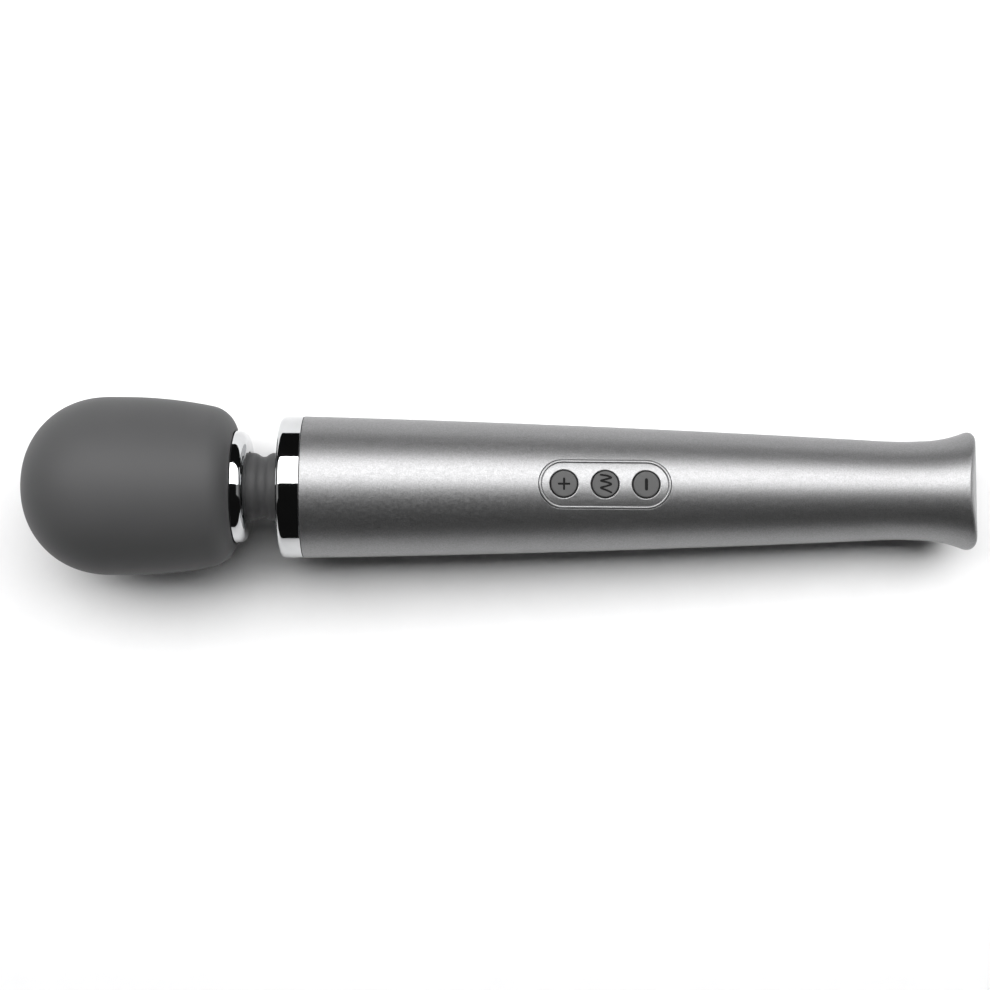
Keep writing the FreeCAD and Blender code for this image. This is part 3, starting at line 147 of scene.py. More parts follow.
def arc(cx, cy, radius, start, end, steps):
    """Points on a circle from one angle to another, both ends included."""
    turns = [start + (end - start) * i / steps for i in range(steps + 1)]
    return [(cx + radius * math.cos(turn), cy + radius * math.sin(turn)) for turn in turns]


def rounded(corners, steps=6):
    """Outline through corners (x, r) or (x, r, fillet), each fillet drawn as an arc."""
    points = []
    for i, corner in enumerate(corners):
        here = Vector(corner[:2])
        if len(corner) == 2:
            points.append(tuple(here))
            continue
        back = (Vector(corners[i - 1][:2]) - here).normalized()
        ahead = (Vector(corners[(i + 1) % len(corners)][:2]) - here).normalized()
        half = back.angle(ahead) / 2
        trim = corner[2] / math.tan(half)
        centre = here + (back + ahead).normalized() * corner[2] / math.sin(half)
        start, end = here + back * trim - centre, here + ahead * trim - centre
        a, b = math.atan2(start.y, start.x), math.atan2(end.y, end.x)
        turn = (b - a + math.pi) % (2 * math.pi) - math.pi
        points += arc(centre.x, centre.y, corner[2], a, a + turn, steps)
    return points


def head_outline():
    """The head from its tip to its rear rim."""
    shoulder_x = TIP_ARC - (TIP_ARC - SHOULDER_ARC) * math.cos(TIP_ANGLE)
    shoulder_r = (TIP_ARC - SHOULDER_ARC) * math.sin(TIP_ANGLE)
    side_x = shoulder_x + (SIDE_ARC - SHOULDER_ARC) * math.cos(SHOULDER_ANGLE)
    side_r = shoulder_r - (SIDE_ARC - SHOULDER_ARC) * math.sin(SHOULDER_ANGLE)
    band_end = side_x + BAND_LENGTH
    corner_x = band_end + (TAPER_ARC - CORNER_ARC) * math.sin(TAPER_ANGLE)
    corner_r = HEAD_RADIUS - TAPER_ARC + (TAPER_ARC - CORNER_ARC) * math.cos(TAPER_ANGLE)
    quarter = math.pi / 2
    rim_turn = math.asin((RIM_RADIUS - corner_r) / CORNER_ARC)
    tip_turn, shoulder_turn = math.pi - TIP_ANGLE, math.pi - SHOULDER_ANGLE
    taper_turn = quarter - TAPER_ANGLE
    points = arc(TIP_ARC, 0, TIP_ARC, math.pi, tip_turn, 8)
    points += arc(shoulder_x, shoulder_r, SHOULDER_ARC, tip_turn, shoulder_turn, 40)[1:]
    points += arc(side_x, side_r, SIDE_ARC, shoulder_turn, quarter, 8)[1:]
    points += arc(band_end, HEAD_RADIUS - TAPER_ARC, TAPER_ARC, quarter, taper_turn, 20)
    points += arc(corner_x, corner_r, CORNER_ARC, taper_turn, rim_turn, 24)[1:]
    x, r = points[-1]
    return points + [(x - 0.25, r - 0.3), (x - 1.2, r - 0.9)]


def boot_outline():
    """The boot's groove between its two ends."""
    total = (GROOVE_HALF**2 + GROOVE_DEPTH**2) / (2 * GROOVE_DEPTH)
    bottom_arc = total - GROOVE_SHOULDER
    tilt = math.asin(GROOVE_HALF / total)
    quarter = math.pi / 2
    left, right = PIVOT_PLACE - GROOVE_HALF, PIVOT_PLACE + GROOVE_HALF
    level, floor = BOOT_RADIUS - GROOVE_SHOULDER, BOOT_RADIUS - GROOVE_DEPTH + bottom_arc
    points = [(BOOT_FRONT + (left - BOOT_FRONT) * i / 12, BOOT_RADIUS) for i in range(12)]
    points += arc(left, level, GROOVE_SHOULDER, quarter, quarter - tilt, 12)
    points += arc(PIVOT_PLACE, floor, bottom_arc, -quarter - tilt, -quarter + tilt, 16)[1:]
    points += arc(right, level, GROOVE_SHOULDER, quarter + tilt, quarter, 12)[1:]
    points += [(right + (BOOT_BACK - right) * i / 16, BOOT_RADIUS) for i in range(1, 17)]
    return points


BARREL_RUN, BARREL_DROP = BARREL_END - SEAM, COLLAR_RADIUS - BARREL_END_RADIUS
BARREL_RISE = math.sqrt(BARREL_ARC**2 - (BARREL_RUN**2 + BARREL_DROP**2) / 4)
BARREL_TILT = math.atan2(BARREL_DROP, BARREL_RUN)
BARREL_X = (SEAM + BARREL_END) / 2 - BARREL_RISE * math.sin(BARREL_TILT)
BARREL_R = (COLLAR_RADIUS + BARREL_END_RADIUS) / 2 - BARREL_RISE * math.cos(BARREL_TILT)
WAIST_SAG = BARREL_END_RADIUS - WAIST_RADIUS
WAIST_ARC = ((WAIST - BARREL_END) ** 2 + WAIST_SAG**2) / (2 * WAIST_SAG)
FLARE_SLOPE = math.asin((FLARE_START - WAIST) / WAIST_ARC)
FLARE_START_RADIUS = WAIST_RADIUS + WAIST_ARC * (1 - math.cos(FLARE_SLOPE))
FLARE_X = FLARE_START - FLARE_ARC * math.sin(FLARE_SLOPE)
FLARE_R = FLARE_START_RADIUS + FLARE_ARC * math.cos(FLARE_SLOPE)


def barrel(x):
    """Radius of the handle up to the start of its flare."""
    if x <= BARREL_END:
        return BARREL_R + math.sqrt(BARREL_ARC**2 - (x - BARREL_X) ** 2)
    return WAIST_RADIUS + WAIST_ARC - math.sqrt(WAIST_ARC**2 - (x - WAIST) ** 2)


def tail_x(z):
    """The rounded end of the tail, a cylinder across the wand."""
    return TAIL_END - TAIL_DOME + math.sqrt(TAIL_DOME**2 - z * z)


# ---------------------------------------------------------------- mesh building

SEGMENTS = 256


class Skin:
    """Points in wand millimetres and the faces between them, welded where they meet."""

    def __init__(self):
        self.points, self.faces, self.normals, self.slots = [], [], [], []

    def add(self, points, faces, normal=None, slot=0):
        """Adds faces. normal, if given, says the surface's true normal at a point."""
        first = len(self.points)
        self.points += [Vector(p) for p in points]
        self.faces += [[first + i for i in face] for face in faces]
        self.normals += [normal] * len(faces)
        self.slots += [slot] * len(faces)

    def rows(self, rows, closed=True, normal=None, slot=0):
        """Adds a grid of quads between rows of equal length."""
        wide = len(rows[0])
        last = wide if closed else wide - 1
        faces = []
        for row in range(0, (len(rows) - 1) * wide, wide):
            for j in range(last):
                ahead = (j + 1) % wide
                faces.append((row + j, row + ahead, row + wide + ahead, row + wide + j))
        self.add([p for row in rows for p in row], faces, normal, slot)

    def build(self, name, materials, sharp=40.0):
        """Makes the object: welds, turns faces outwards, smooths, and keeps the true normals."""
        keys, index, welded = {}, [], []
        for p in self.points:
            key = (round(p.x, 3), round(p.y, 3), round(p.z, 3))
            if key not in keys:
                keys[key] = len(welded)
                welded.append(p)
            index.append(keys[key])
        faces, normals, slots = [], [], []
        for face, normal, slot in zip(self.faces, self.normals, self.slots):
            kept = list(dict.fromkeys(index[i] for i in face))
            if len(kept) > 2:
                faces.append(kept)
                normals.append(normal)
                slots.append(slot)
        mesh = bpy.data.meshes.new(name)
        mesh.from_pydata([WAND @ p for p in welded], [], faces)
        outwards = bmesh.new()
        outwards.from_mesh(mesh)
        bmesh.ops.recalc_face_normals(outwards, faces=outwards.faces)
        outwards.to_mesh(mesh)
        outwards.free()
        for material in materials:
            mesh.materials.append(material)
        for polygon, slot in zip(mesh.polygons, slots):
            polygon.material_index = slot
            polygon.use_smooth = True
        mesh.set_sharp_from_angle(angle=math.radians(sharp))
        if any(normals):
            turn = WAND.to_3x3().normalized()
            split = [Vector((0, 0, 0))] * len(mesh.loops)
            for polygon, normal in zip(mesh.polygons, normals):
                for loop in polygon.loop_indices if normal else ():
                    true = turn @ normal(welded[mesh.loops[loop].vertex_index])
                    split[loop] = true if true.dot(polygon.normal) > 0 else -true
            mesh.normals_split_custom_set(split)
        piece = bpy.data.objects.new(name, mesh)
        bpy.context.scene.collection.objects.link(piece)
        return piece


def around(x, r):
    """A ring of points about the wand's axis, starting at the top."""
    turns = [2 * math.pi * i / SEGMENTS for i in range(SEGMENTS)]
    return [(x, r * math.sin(turn), r * math.cos(turn)) for turn in turns]


def lathe(name, outline, material, sharp=40.0, closed=False):
    """A piece turned about the wand's axis."""
    skin = Skin()
    outline = outline + outline[:1] if closed else outline
    skin.rows([around(x, r) for x, r in outline])
    return skin.build(name, [material], sharp)


def circle(cx, cy, radius, count=96):
    """A closed ring of points in the plane."""
    turns = [2 * math.pi * i / count for i in range(count)]
    return [(cx + radius * math.cos(turn), cy + radius * math.sin(turn)) for turn in turns]


def pill(inset):
    """The button panel's outline seen from above, moved inwards."""
    bend, straight = 40, 30
    r, low, high = PANEL_WIDTH / 2 - inset, PANEL_PLACE - PANEL_REACH, PANEL_PLACE + PANEL_REACH
    right = arc(high, 0, r, -math.pi / 2, math.pi / 2, bend)
    left = arc(low, 0, r, math.pi / 2, 1.5 * math.pi, bend)
    top = [(high - 2 * PANEL_REACH * i / straight, r) for i in range(1, straight)]
    bottom = [(low + 2 * PANEL_REACH * i / straight, -r) for i in range(1, straight)]
    return right + top + left + bottom


def pill_depth(x, y):
    """How far a point lies inside the panel's outline."""
    beyond = max(abs(x - PANEL_PLACE) - PANEL_REACH, 0)
    return PANEL_WIDTH / 2 - math.hypot(beyond, y)


def fill(loops, inside, spacing):
    """Triangles between closed loops in the plane, with a grid of points well inside them."""
    points, edges = [], []
    for loop in loops:
        first = len(points)
        points += [Vector(p) for p in loop]
        edges += [(first + i, first + (i + 1) % len(loop)) for i in range(len(loop))]
    us, vs = [p.x for p in points], [p.y for p in points]
    for i in range(int((max(us) - min(us)) / spacing)):
        for j in range(int((max(vs) - min(vs)) / spacing)):
            u, v = min(us) + (i + 0.5) * spacing, min(vs) + (j + 0.5) * spacing
            if inside(u, v) > spacing / 2:
                points.append(Vector((u, v)))
    flat, _, faces, *_ = delaunay_2d_cdt(points, edges, [], 0, 1e-6)
    kept = []
    for face in faces:
        middle = sum((flat[i] for i in face), Vector((0, 0))) / len(face)
        if inside(middle.x, middle.y) > 0:
            kept.append(face)
    return flat, kept


def on_barrel(point, height=0.0):
    """The point of the barrel's surface above (x, y), raised along its normal."""
    x, y = point
    r = barrel(x)
    base = Vector((x, y, math.sqrt(r * r - y * y)))
    return base + barrel_normal(base) * height


def barrel_normal(p):
    """The barrel's outward direction at a point of its surface."""
    slope = barrel(p.x + 0.5) - barrel(p.x - 0.5)
    r = math.hypot(p.y, p.z)
    return Vector((-slope, p.y / r, p.z / r)).normalized()


# ---------------------------------------------------------------- materials


def shader(name):
    """A new material with its nodes, its links and its main shader."""
    material = bpy.data.materials.new(name)
    material.use_nodes = True
    nodes, links = material.node_tree.nodes, material.node_tree.links
    return material, nodes, links, nodes["Principled BSDF"]


def noise(nodes, links, scale, detail=2.0, roughness=0.5):
    """Noise in the object's own coordinates; scale is in cells per millimetre."""
    place = nodes.new("ShaderNodeTexCoord")
    texture = nodes.new("ShaderNodeTexNoise")
    texture.inputs["Scale"].default_value = scale / MM
    texture.inputs["Detail"].default_value = detail
    texture.inputs["Roughness"].default_value = roughness
    links.new(place.outputs["Object"], texture.inputs["Vector"])
    return texture.outputs["Fac"]


def spread(nodes, links, source, low, high, start=0.3, end=0.7):
    """Maps a texture onto a range of values."""
    node = nodes.new("ShaderNodeMapRange")
    node.inputs["From Min"].default_value = start
    node.inputs["From Max"].default_value = end
    node.inputs["To Min"].default_value = low
    node.inputs["To Max"].default_value = high
    links.new(source, node.inputs["Value"])
    return node.outputs["Result"]


def tint(nodes, links, source, dark, light):
    """Mixes two colours by a texture."""
    node = nodes.new("ShaderNodeMix")
    node.data_type = "RGBA"
    node.inputs["A"].default_value = (*dark, 1)
    node.inputs["B"].default_value = (*light, 1)
    links.new(source, node.inputs["Factor"])
    return node.outputs["Result"]


def bump(nodes, links, bsdf, source, height):
    """Relief whose full height is given in millimetres."""
    node = nodes.new("ShaderNodeBump")
    node.inputs["Strength"].default_value = 1.0
    node.inputs["Distance"].default_value = height * MM
    links.new(source, node.inputs["Height"])
    links.new(node.outputs["Normal"], bsdf.inputs["Normal"])


def shaded(colour, factor):
    """A lighter or darker colour."""
    return tuple(min(c * factor, 1.0) for c in colour)


def plain(
    name, colour, roughness, metallic=0.0, grain=1.5, relief=0.01, variety=0.12, coat=0.0, ior=1.5
):
    """Moulded, turned or coated stuff: its colour, gloss and relief all vary a little."""
    material, nodes, links, bsdf = shader(name)
    bsdf.inputs["Metallic"].default_value = metallic
    bsdf.inputs["Coat Weight"].default_value = coat
    bsdf.inputs["IOR"].default_value = ior
    broad = noise(nodes, links, 0.08, 3.0)
    fine = noise(nodes, links, grain, 3.0)
    dark, light = shaded(colour, 1 - variety), shaded(colour, 1 + variety)
    colours = tint(nodes, links, spread(nodes, links, broad, 0, 1), dark, light)
    gloss = spread(nodes, links, fine, roughness * 0.85, min(roughness * 1.15, 1.0))
    links.new(colours, bsdf.inputs["Base Color"])
    links.new(gloss, bsdf.inputs["Roughness"])
    bump(nodes, links, bsdf, fine, relief)
    return material


def silicone(name, colour, roughness):
    """Velvety rubber with a fine eggshell skin."""
    material, nodes, links, bsdf = shader(name)
    bsdf.inputs["Sheen Weight"].default_value = 0.04
    bsdf.inputs["Sheen Roughness"].default_value = 0.4
    bsdf.inputs["Specular IOR Level"].default_value = 0.3
    broad = noise(nodes, links, 0.03, 2.0)
    skin = noise(nodes, links, 6.0, 2.0)
    dark, light = shaded(colour, 0.95), shaded(colour, 1.05)
    colours = tint(nodes, links, spread(nodes, links, broad, 0, 1), dark, light)
    links.new(colours, bsdf.inputs["Base Color"])
    links.new(spread(nodes, links, skin, roughness - 0.05, roughness + 0.05), bsdf.inputs["Roughness"])
    bump(nodes, links, bsdf, skin, 0.006)
    return material


def silver_paint(name):
    """Metallic paint: fine flakes that catch the light one by one, under a satin skin."""
    material, nodes, links, bsdf = shader(name)
    bsdf.inputs["Metallic"].default_value = 0.95
    flakes = noise(nodes, links, 2.2, 4.0, 0.7)
    specks = noise(nodes, links, 0.9, 3.0, 0.6)
    share = spread(nodes, links, flakes, 0, 1, 0.35, 0.65)
    colours = tint(nodes, links, share, (0.21, 0.21, 0.212), (0.285, 0.285, 0.288))
    links.new(colours, bsdf.inputs["Base Color"])
    links.new(spread(nodes, links, specks, 0.39, 0.49), bsdf.inputs["Roughness"])
    bump(nodes, links, bsdf, flakes, 0.012)
    return material


def chrome(name):
    """Bright plating with the faintest waviness."""
    material, nodes, links, bsdf = shader(name)
    bsdf.inputs["Metallic"].default_value = 1.0
    broad = noise(nodes, links, 0.15, 1.0)
    haze = noise(nodes, links, 1.2, 3.0)
    share = spread(nodes, links, broad, 0, 1)
    colours = tint(nodes, links, share, (0.5, 0.505, 0.51), (0.56, 0.565, 0.57))
    links.new(colours, bsdf.inputs["Base Color"])
    links.new(spread(nodes, links, haze, 0.03, 0.06), bsdf.inputs["Roughness"])
    bump(nodes, links, bsdf, broad, 0.01)
    return material


MATERIALS = {
    "soft_cover": silicone("soft_cover", (0.052, 0.052, 0.053), 0.6),
    "bright_trim": chrome("bright_trim"),
    "silver_shell": silver_paint("silver_shell"),
    "end_cap": plain("end_cap", (0.3, 0.3, 0.305), 0.45, grain=3.0, relief=0.006),
    "key_rubber": silicone("key_rubber", (0.068, 0.068, 0.068), 0.6),
    "black_rubber": plain("black_rubber", (0.012, 0.012, 0.012), 0.7, grain=4.0),
    "housing_plastic": plain("housing_plastic", (0.03, 0.03, 0.032), 0.5, grain=4.0, relief=0.02),
    "white_plastic": plain("white_plastic", (0.7, 0.69, 0.64), 0.45, grain=2.0),
    "bearing_steel": plain("bearing_steel", (0.62, 0.62, 0.64), 0.18, 1.0, grain=5.0, relief=0.002),
    "spring_steel": plain("spring_steel", (0.42, 0.42, 0.44), 0.3, 1.0, grain=3.0, relief=0.004),
    "weight_steel": plain("weight_steel", (0.5, 0.48, 0.45), 0.35, 1.0, grain=2.0, relief=0.01),
    "motor_steel": plain("motor_steel", (0.6, 0.61, 0.63), 0.28, 1.0, grain=1.2, relief=0.004),
    "magnet": plain("magnet", (0.05, 0.05, 0.055), 0.6, grain=5.0, relief=0.02),
    "laminations": plain("laminations", (0.3, 0.28, 0.26), 0.45, 1.0, grain=3.0, relief=0.02),
    "copper": plain("copper", (0.72, 0.3, 0.14), 0.3, 1.0, grain=2.5, relief=0.03, coat=0.4),
    "brass": plain("brass", (0.76, 0.58, 0.25), 0.25, 1.0, grain=4.0, relief=0.004),
    "carbon": plain("carbon", (0.02, 0.02, 0.02), 0.5, grain=6.0, relief=0.02),
    "screw_steel": plain("screw_steel", (0.2, 0.2, 0.21), 0.35, 1.0, grain=4.0, relief=0.006),
    "cell_wrap": plain("cell_wrap", (0.03, 0.22, 0.15), 0.25, grain=0.6, relief=0.01, coat=0.3),
    "nickel": plain("nickel", (0.7, 0.67, 0.6), 0.25, 1.0, grain=3.0, relief=0.004),
    "board_green": plain("board_green", (0.01, 0.1, 0.035), 0.3, grain=1.2, relief=0.01, coat=0.5),
    "chip_black": plain("chip_black", (0.02, 0.02, 0.022), 0.55, grain=5.0, relief=0.01),
    "red_insulation": plain("red_insulation", (0.5, 0.02, 0.015), 0.35, grain=1.5),
    "black_insulation": plain("black_insulation", (0.015, 0.015, 0.015), 0.35, grain=1.5),
}
ICON_DARK = plain("icon_dark", (0.01, 0.01, 0.01), 0.7, grain=5.0, relief=0.01, ior=1.15)

for subpart in frame["record"]["subparts"]:
    node = frame["nodes"][subpart["node"]]
    node.data.materials.clear()
    node.data.materials.append(MATERIALS[subpart["material_slot"]])


def finished(piece, body, slot, *nodes):
    """The piece rides on its body and stands for its CAD nodes."""
    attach(piece, body)
    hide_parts(*nodes)


# ---------------------------------------------------------------- head and neck


def make_head():
    """The soft cover and the bright ring behind it."""
    cover = lathe("soft_head", head_outline(), MATERIALS["soft_cover"])
    finished(cover, "head", "soft_cover", "head_cover")
    outline = rounded([
        (RING_START, RING_RADIUS, 0.15),
        (RING_END, RING_RADIUS, RING_CORNER),
        (RING_END, SLEEVE_RADIUS, 0.35),
        (RING_END - RING_WALL, SLEEVE_RADIUS),
        (RING_END - RING_WALL, RING_RADIUS - RING_WALL),
        (RING_START, RING_RADIUS - RING_WALL),
    ], steps=24)
    ring = lathe("head_trim", outline, MATERIALS["bright_trim"], closed=True)
    finished(ring, "head", "bright_trim", "head_ring")


def make_neck():
    """The boot in two halves, which meet at the middle of its groove."""
    outline = boot_outline()
    front = [point for point in outline if point[0] <= PIVOT_PLACE + 1e-6]
    rear = [point for point in outline if point[0] >= PIVOT_PLACE - 1e-6]
    halves = [
        ("neck_front", front, "neck_link", "head", PIVOT_PLACE - 0.4, PIVOT_PLACE - 4.6),
        ("neck_rear", rear, "handle", "neck_link", PIVOT_PLACE + 6.0, PIVOT_PLACE + 0.4),
    ]
    for name, points, first, second, start, end in halves:
        piece = lathe(name, points, MATERIALS["soft_cover"])
        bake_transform(piece)
        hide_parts("neck_boot")


# ---------------------------------------------------------------- collar and handle


def make_collar():
    """The bright cap on the front of the handle, with a hole for the neck."""
    hole, wall = COLLAR_FRONT + COLLAR_WALL, COLLAR_RADIUS - COLLAR_WALL
    outline = rounded([
        (COLLAR_FRONT, SLEEVE_RADIUS, 0.3),
        (COLLAR_FRONT, COLLAR_RADIUS, COLLAR_CORNER),
        (SEAM, COLLAR_RADIUS, 0.12),
        (SEAM, wall),
        (hole, wall),
        (hole, SLEEVE_RADIUS),
    ], steps=16)
    collar = lathe("collar_trim", outline, MATERIALS["bright_trim"], closed=True)
    finished(collar, "handle", "bright_trim", "collar")


PATCH_REACH = 27.0  # half the length of the skin's patch round the button panel
PATCH_COLUMNS = 22  # half its width, in the skin's own columns
PATCH_LOW, PATCH_HIGH = PANEL_PLACE - PATCH_REACH, PANEL_PLACE + PATCH_REACH
PATCH_ROWS = [PATCH_LOW + 2 * PATCH_REACH * i / 18 for i in range(19)]


def patch_side(x, column):
    """A point in the plan view, a number of columns away from the top of the barrel."""
    return (x, barrel(x) * math.sin(column * 2 * math.pi / SEGMENTS))


def panel_opening(skin):
    """The barrel's skin around the button panel, and the opening's edge."""
    loop = [patch_side(PATCH_LOW, j) for j in range(-PATCH_COLUMNS, PATCH_COLUMNS)]
    loop += [patch_side(x, PATCH_COLUMNS) for x in PATCH_ROWS[:-1]]
    loop += [patch_side(PATCH_HIGH, j) for j in range(PATCH_COLUMNS, -PATCH_COLUMNS, -1)]
    loop += [patch_side(x, -PATCH_COLUMNS) for x in reversed(PATCH_ROWS[1:])]

    def inside(x, y):
        width = patch_side(x, PATCH_COLUMNS)[1]
        return min(x - PATCH_LOW, PATCH_HIGH - x, width - abs(y), -OPENING_GAP - pill_depth(x, y))

    flat, faces = fill([loop, pill(-OPENING_GAP)], inside, 1.5)
    skin.add([on_barrel(p) for p in flat], faces, barrel_normal)
    lip = [(-OPENING_GAP, 0.0), (-0.11, -0.02), (-0.07, -0.06), (-0.05, -0.12), (-0.05, -PANEL_DEPTH)]
    skin.rows([[on_barrel(p, height) for p in pill(inset)] for inset, height in lip])


def tail_column(turn):
    """Points down the flare, round the rim and over the tail's end to the seam, at one turn."""
    across, up = math.sin(turn), math.cos(turn)
    fillet = 0.9 + across**2
    axis_x = TAIL_END - TAIL_DOME
    # The rim's fillet touches both the flare and the end: its place on the flare is found by halving.
    low, high = FLARE_SLOPE, math.radians(45)
    for _ in range(50):
        t = (low + high) / 2
        cx = FLARE_X + (FLARE_ARC + fillet) * math.sin(t)
        cr = FLARE_R - (FLARE_ARC + fillet) * math.cos(t)
        if math.hypot(cx - axis_x, cr * up) < TAIL_DOME - fillet:
            low = t
        else:
            high = t
    centre = Vector((cx, cr * across, cr * up))
    points = []
    for i in range(1, 15):
        a = FLARE_SLOPE + (t - FLARE_SLOPE) * i / 14
        r = FLARE_R - FLARE_ARC * math.cos(a)
        points.append(Vector((FLARE_X + FLARE_ARC * math.sin(a), r * across, r * up)))
    start = (points[-1] - centre).normalized()
    end = Vector((centre.x - axis_x, 0, centre.z)).normalized()
    angle = start.angle(end)
    for i in range(1, 13):
        share = i / 12
        way = (math.sin((1 - share) * angle) * start + math.sin(share * angle) * end) / math.sin(angle)
        points.append(centre + way * fillet)
    last, seam = points[-1], LID_RADIUS + LID_GAP
    for i in range(1, 4):
        y = last.y + (seam * across - last.y) * i / 3
        z = last.z + (seam * up - last.z) * i / 3
        points.append(Vector((tail_x(z), y, z)))
    points.append(Vector((tail_x(seam * up) - SEAM_DEPTH, seam * across, seam * up)))
    return points


def make_shell():
    """The silver body, from its front lip to the seam of the end cap."""
    skin = Skin()
    start = SHELL_START + 0.12
    lip = [(0.9, -0.6), (0.0, -0.5), (0.0, -0.12), (0.04, -0.04)]
    front = [around(SHELL_START + step, barrel(SHELL_START) + drop) for step, drop in lip]
    skin.rows(front + [around(start, barrel(start))])
    fore = [start + (PATCH_LOW - start) * i / 26 for i in range(27)]
    aft = [PATCH_HIGH + (BARREL_END - PATCH_HIGH) * i / 24 for i in range(25)]
    aft += [BARREL_END + (FLARE_START - BARREL_END) * i / 16 for i in range(1, 17)]
    skin.rows([around(x, barrel(x)) for x in fore], normal=barrel_normal)
    skin.rows([around(x, barrel(x)) for x in aft])
    panel_opening(skin)
    beside = slice(PATCH_COLUMNS, SEGMENTS - PATCH_COLUMNS + 1)
    rows = [around(x, barrel(x))[beside] for x in PATCH_ROWS]
    skin.rows(rows, closed=False, normal=barrel_normal)
    columns = [tail_column(2 * math.pi * i / SEGMENTS) for i in range(SEGMENTS)]
    tail = [[column[i] for column in columns] for i in range(len(columns[0]))]
    skin.rows([around(FLARE_START, FLARE_START_RADIUS)] + tail[:-1])
    # The shell's wall down inside the seam takes the black rubber: painted shade that darkens the gap between
    # shell and cap.
    skin.rows(tail[-2:], slot=1)
    shell = skin.build("handle_body", [MATERIALS["silver_shell"], MATERIALS["black_rubber"]])
    finished(shell, "handle", "silver_shell", "handle_shell")


def make_end_cap():
    """The cap in the tail's end, with a round socket in its middle."""
    skin = Skin()
    edge = [(LID_ROUND, 0.0), (0.36, 0.04), (0.28, 0.12), (0.25, 0.2), (0.25, SEAM_DEPTH)]
    mouth = [(PORT_ROUND, 0.0), (0.3, 0.03), (0.1, 0.15), (0.0, 0.4)]

    def on_tail(point, depth=0.0):
        y, z = point
        return Vector((tail_x(z) - depth, y, z))

    def ring(radius, depth, count=SEGMENTS):
        return [on_tail(point, depth) for point in circle(0, 0, radius, count)]

    def inside(y, z):
        r = math.hypot(y, z)
        return min(LID_RADIUS - LID_ROUND - r, r - PORT_RADIUS - PORT_ROUND)

    rim = circle(0, 0, LID_RADIUS - LID_ROUND, SEGMENTS)
    hole = circle(0, 0, PORT_RADIUS + PORT_ROUND)
    flat, faces = fill([rim, hole], inside, 1.2)
    skin.add([on_tail(p) for p in flat], [face[::-1] for face in faces])
    brink = [ring(LID_RADIUS - inset, depth) for inset, depth in edge]
    skin.rows(brink[:-1])
    # The cap's side wall down inside the seam takes the black rubber: painted shade that darkens the gap between
    # shell and cap.
    skin.rows(brink[-2:], slot=1)
    wall = [ring(PORT_RADIUS + wide, depth, len(hole)) for wide, depth in mouth]
    wall.append([(JACK_FACE, y, z) for y, z in circle(0, 0, PORT_RADIUS)])
    skin.rows(wall)
    cap = skin.build("tail_cap", [MATERIALS["end_cap"], MATERIALS["black_rubber"]])
    finished(cap, "handle", "end_cap", "end_cap")


# ---------------------------------------------------------------- button panel


FACE_INSET, FACE_DROP = 1.3, 0.25  # the panel's flat face, inside its bead and below it


def bead_arc():
    """The bead's half-oval section, as offsets across and up."""
    turns = [math.pi * i / 12 for i in range(13)]
    return [(0.48 * math.cos(turn), 0.38 * math.sin(turn)) for turn in turns]


def make_panel():
    """The button panel: a raised bead, a groove, a sunken face and three holes for the keys."""
    skin = Skin()
    edge = [(0.02, -PANEL_DEPTH), (0.02, -0.16)]
    edge += [(0.52 - across, up - 0.12) for across, up in bead_arc()]
    edge += [(1.03, -0.2), (1.06, -0.42), (1.16, -0.44), (1.2, -0.3), (1.24, -0.26)]
    edge += [(FACE_INSET, -FACE_DROP)]
    skin.rows([[on_barrel(p, height) for p in pill(inset)] for inset, height in edge])

    def inside(x, y):
        away = min(math.hypot(x - key.x, y) for key in KEYS.values())
        return min(pill_depth(x, y) - FACE_INSET, away - KEY_HOLE - KEY_MOUTH)

    mouths = [circle(key.x, 0, KEY_HOLE + KEY_MOUTH) for key in KEYS.values()]
    flat, faces = fill([pill(FACE_INSET), *mouths], inside, 0.9)
    skin.add([on_barrel(p, -FACE_DROP) for p in flat], faces, barrel_normal)
    wall = [(KEY_MOUTH, -FACE_DROP), (0.3, -0.27), (0.1, -0.42), (0.02, -0.55), (0.0, -0.7), (0.0, -2.8)]
    for key in KEYS.values():
        rings = [(circle(key.x, 0, KEY_HOLE + wide), height) for wide, height in wall]
        skin.rows([[on_barrel(p, height) for p in ring] for ring, height in rings])
    panel = skin.build("button_panel", [MATERIALS["silver_shell"]], sharp=50.0)
    finished(panel, "handle", "silver_shell", "control_panel")


def capsule(a, b, width, steps=8):
    """Round-ended bar between two points."""
    turn = math.atan2(b[1] - a[1], b[0] - a[0])
    head = arc(b[0], b[1], width / 2, turn - math.pi / 2, turn + math.pi / 2, steps)
    return head + arc(a[0], a[1], width / 2, turn + math.pi / 2, turn + 1.5 * math.pi, steps)


def smooth(points, steps=6):
    """A curve that passes through the points, as a chain of short runs."""
    points = [Vector(p) for p in points]
    points = [2 * points[0] - points[1], *points, 2 * points[-1] - points[-2]]
    curve = []
    for a, b, c, d in zip(points, points[1:], points[2:], points[3:]):
        for i in range(steps):
            t = i / steps
            bend = (c - a) * t + (2 * a - 5 * b + 4 * c - d) * t**2 + (3 * b - a - 3 * c + d) * t**3
            curve.append(b + bend / 2)
    return curve + [points[-2]]


WAVE_TURNS = [
    (-1.6, 3.2), (0.6, 2.85), (2.0, 2.25), (0.5, 1.75), (-1.5, 1.15), (0.5, 0.65), (2.0, 0.0),
    (0.5, -0.65), (-1.55, -1.3), (0.3, -2.05), (2.0, -2.85),
]
WAVE = smooth(WAVE_TURNS)
ICONS = {
    "plus": [capsule((-1.8, 0), (1.8, 0), 0.75), capsule((0, -1.8), (0, 1.8), 0.75)],
    "mode": [capsule(a, b, 0.7) for a, b in zip(WAVE, WAVE[1:])],
    "minus": [capsule((0, -1.6), (0, 1.6), 1.1)],
}


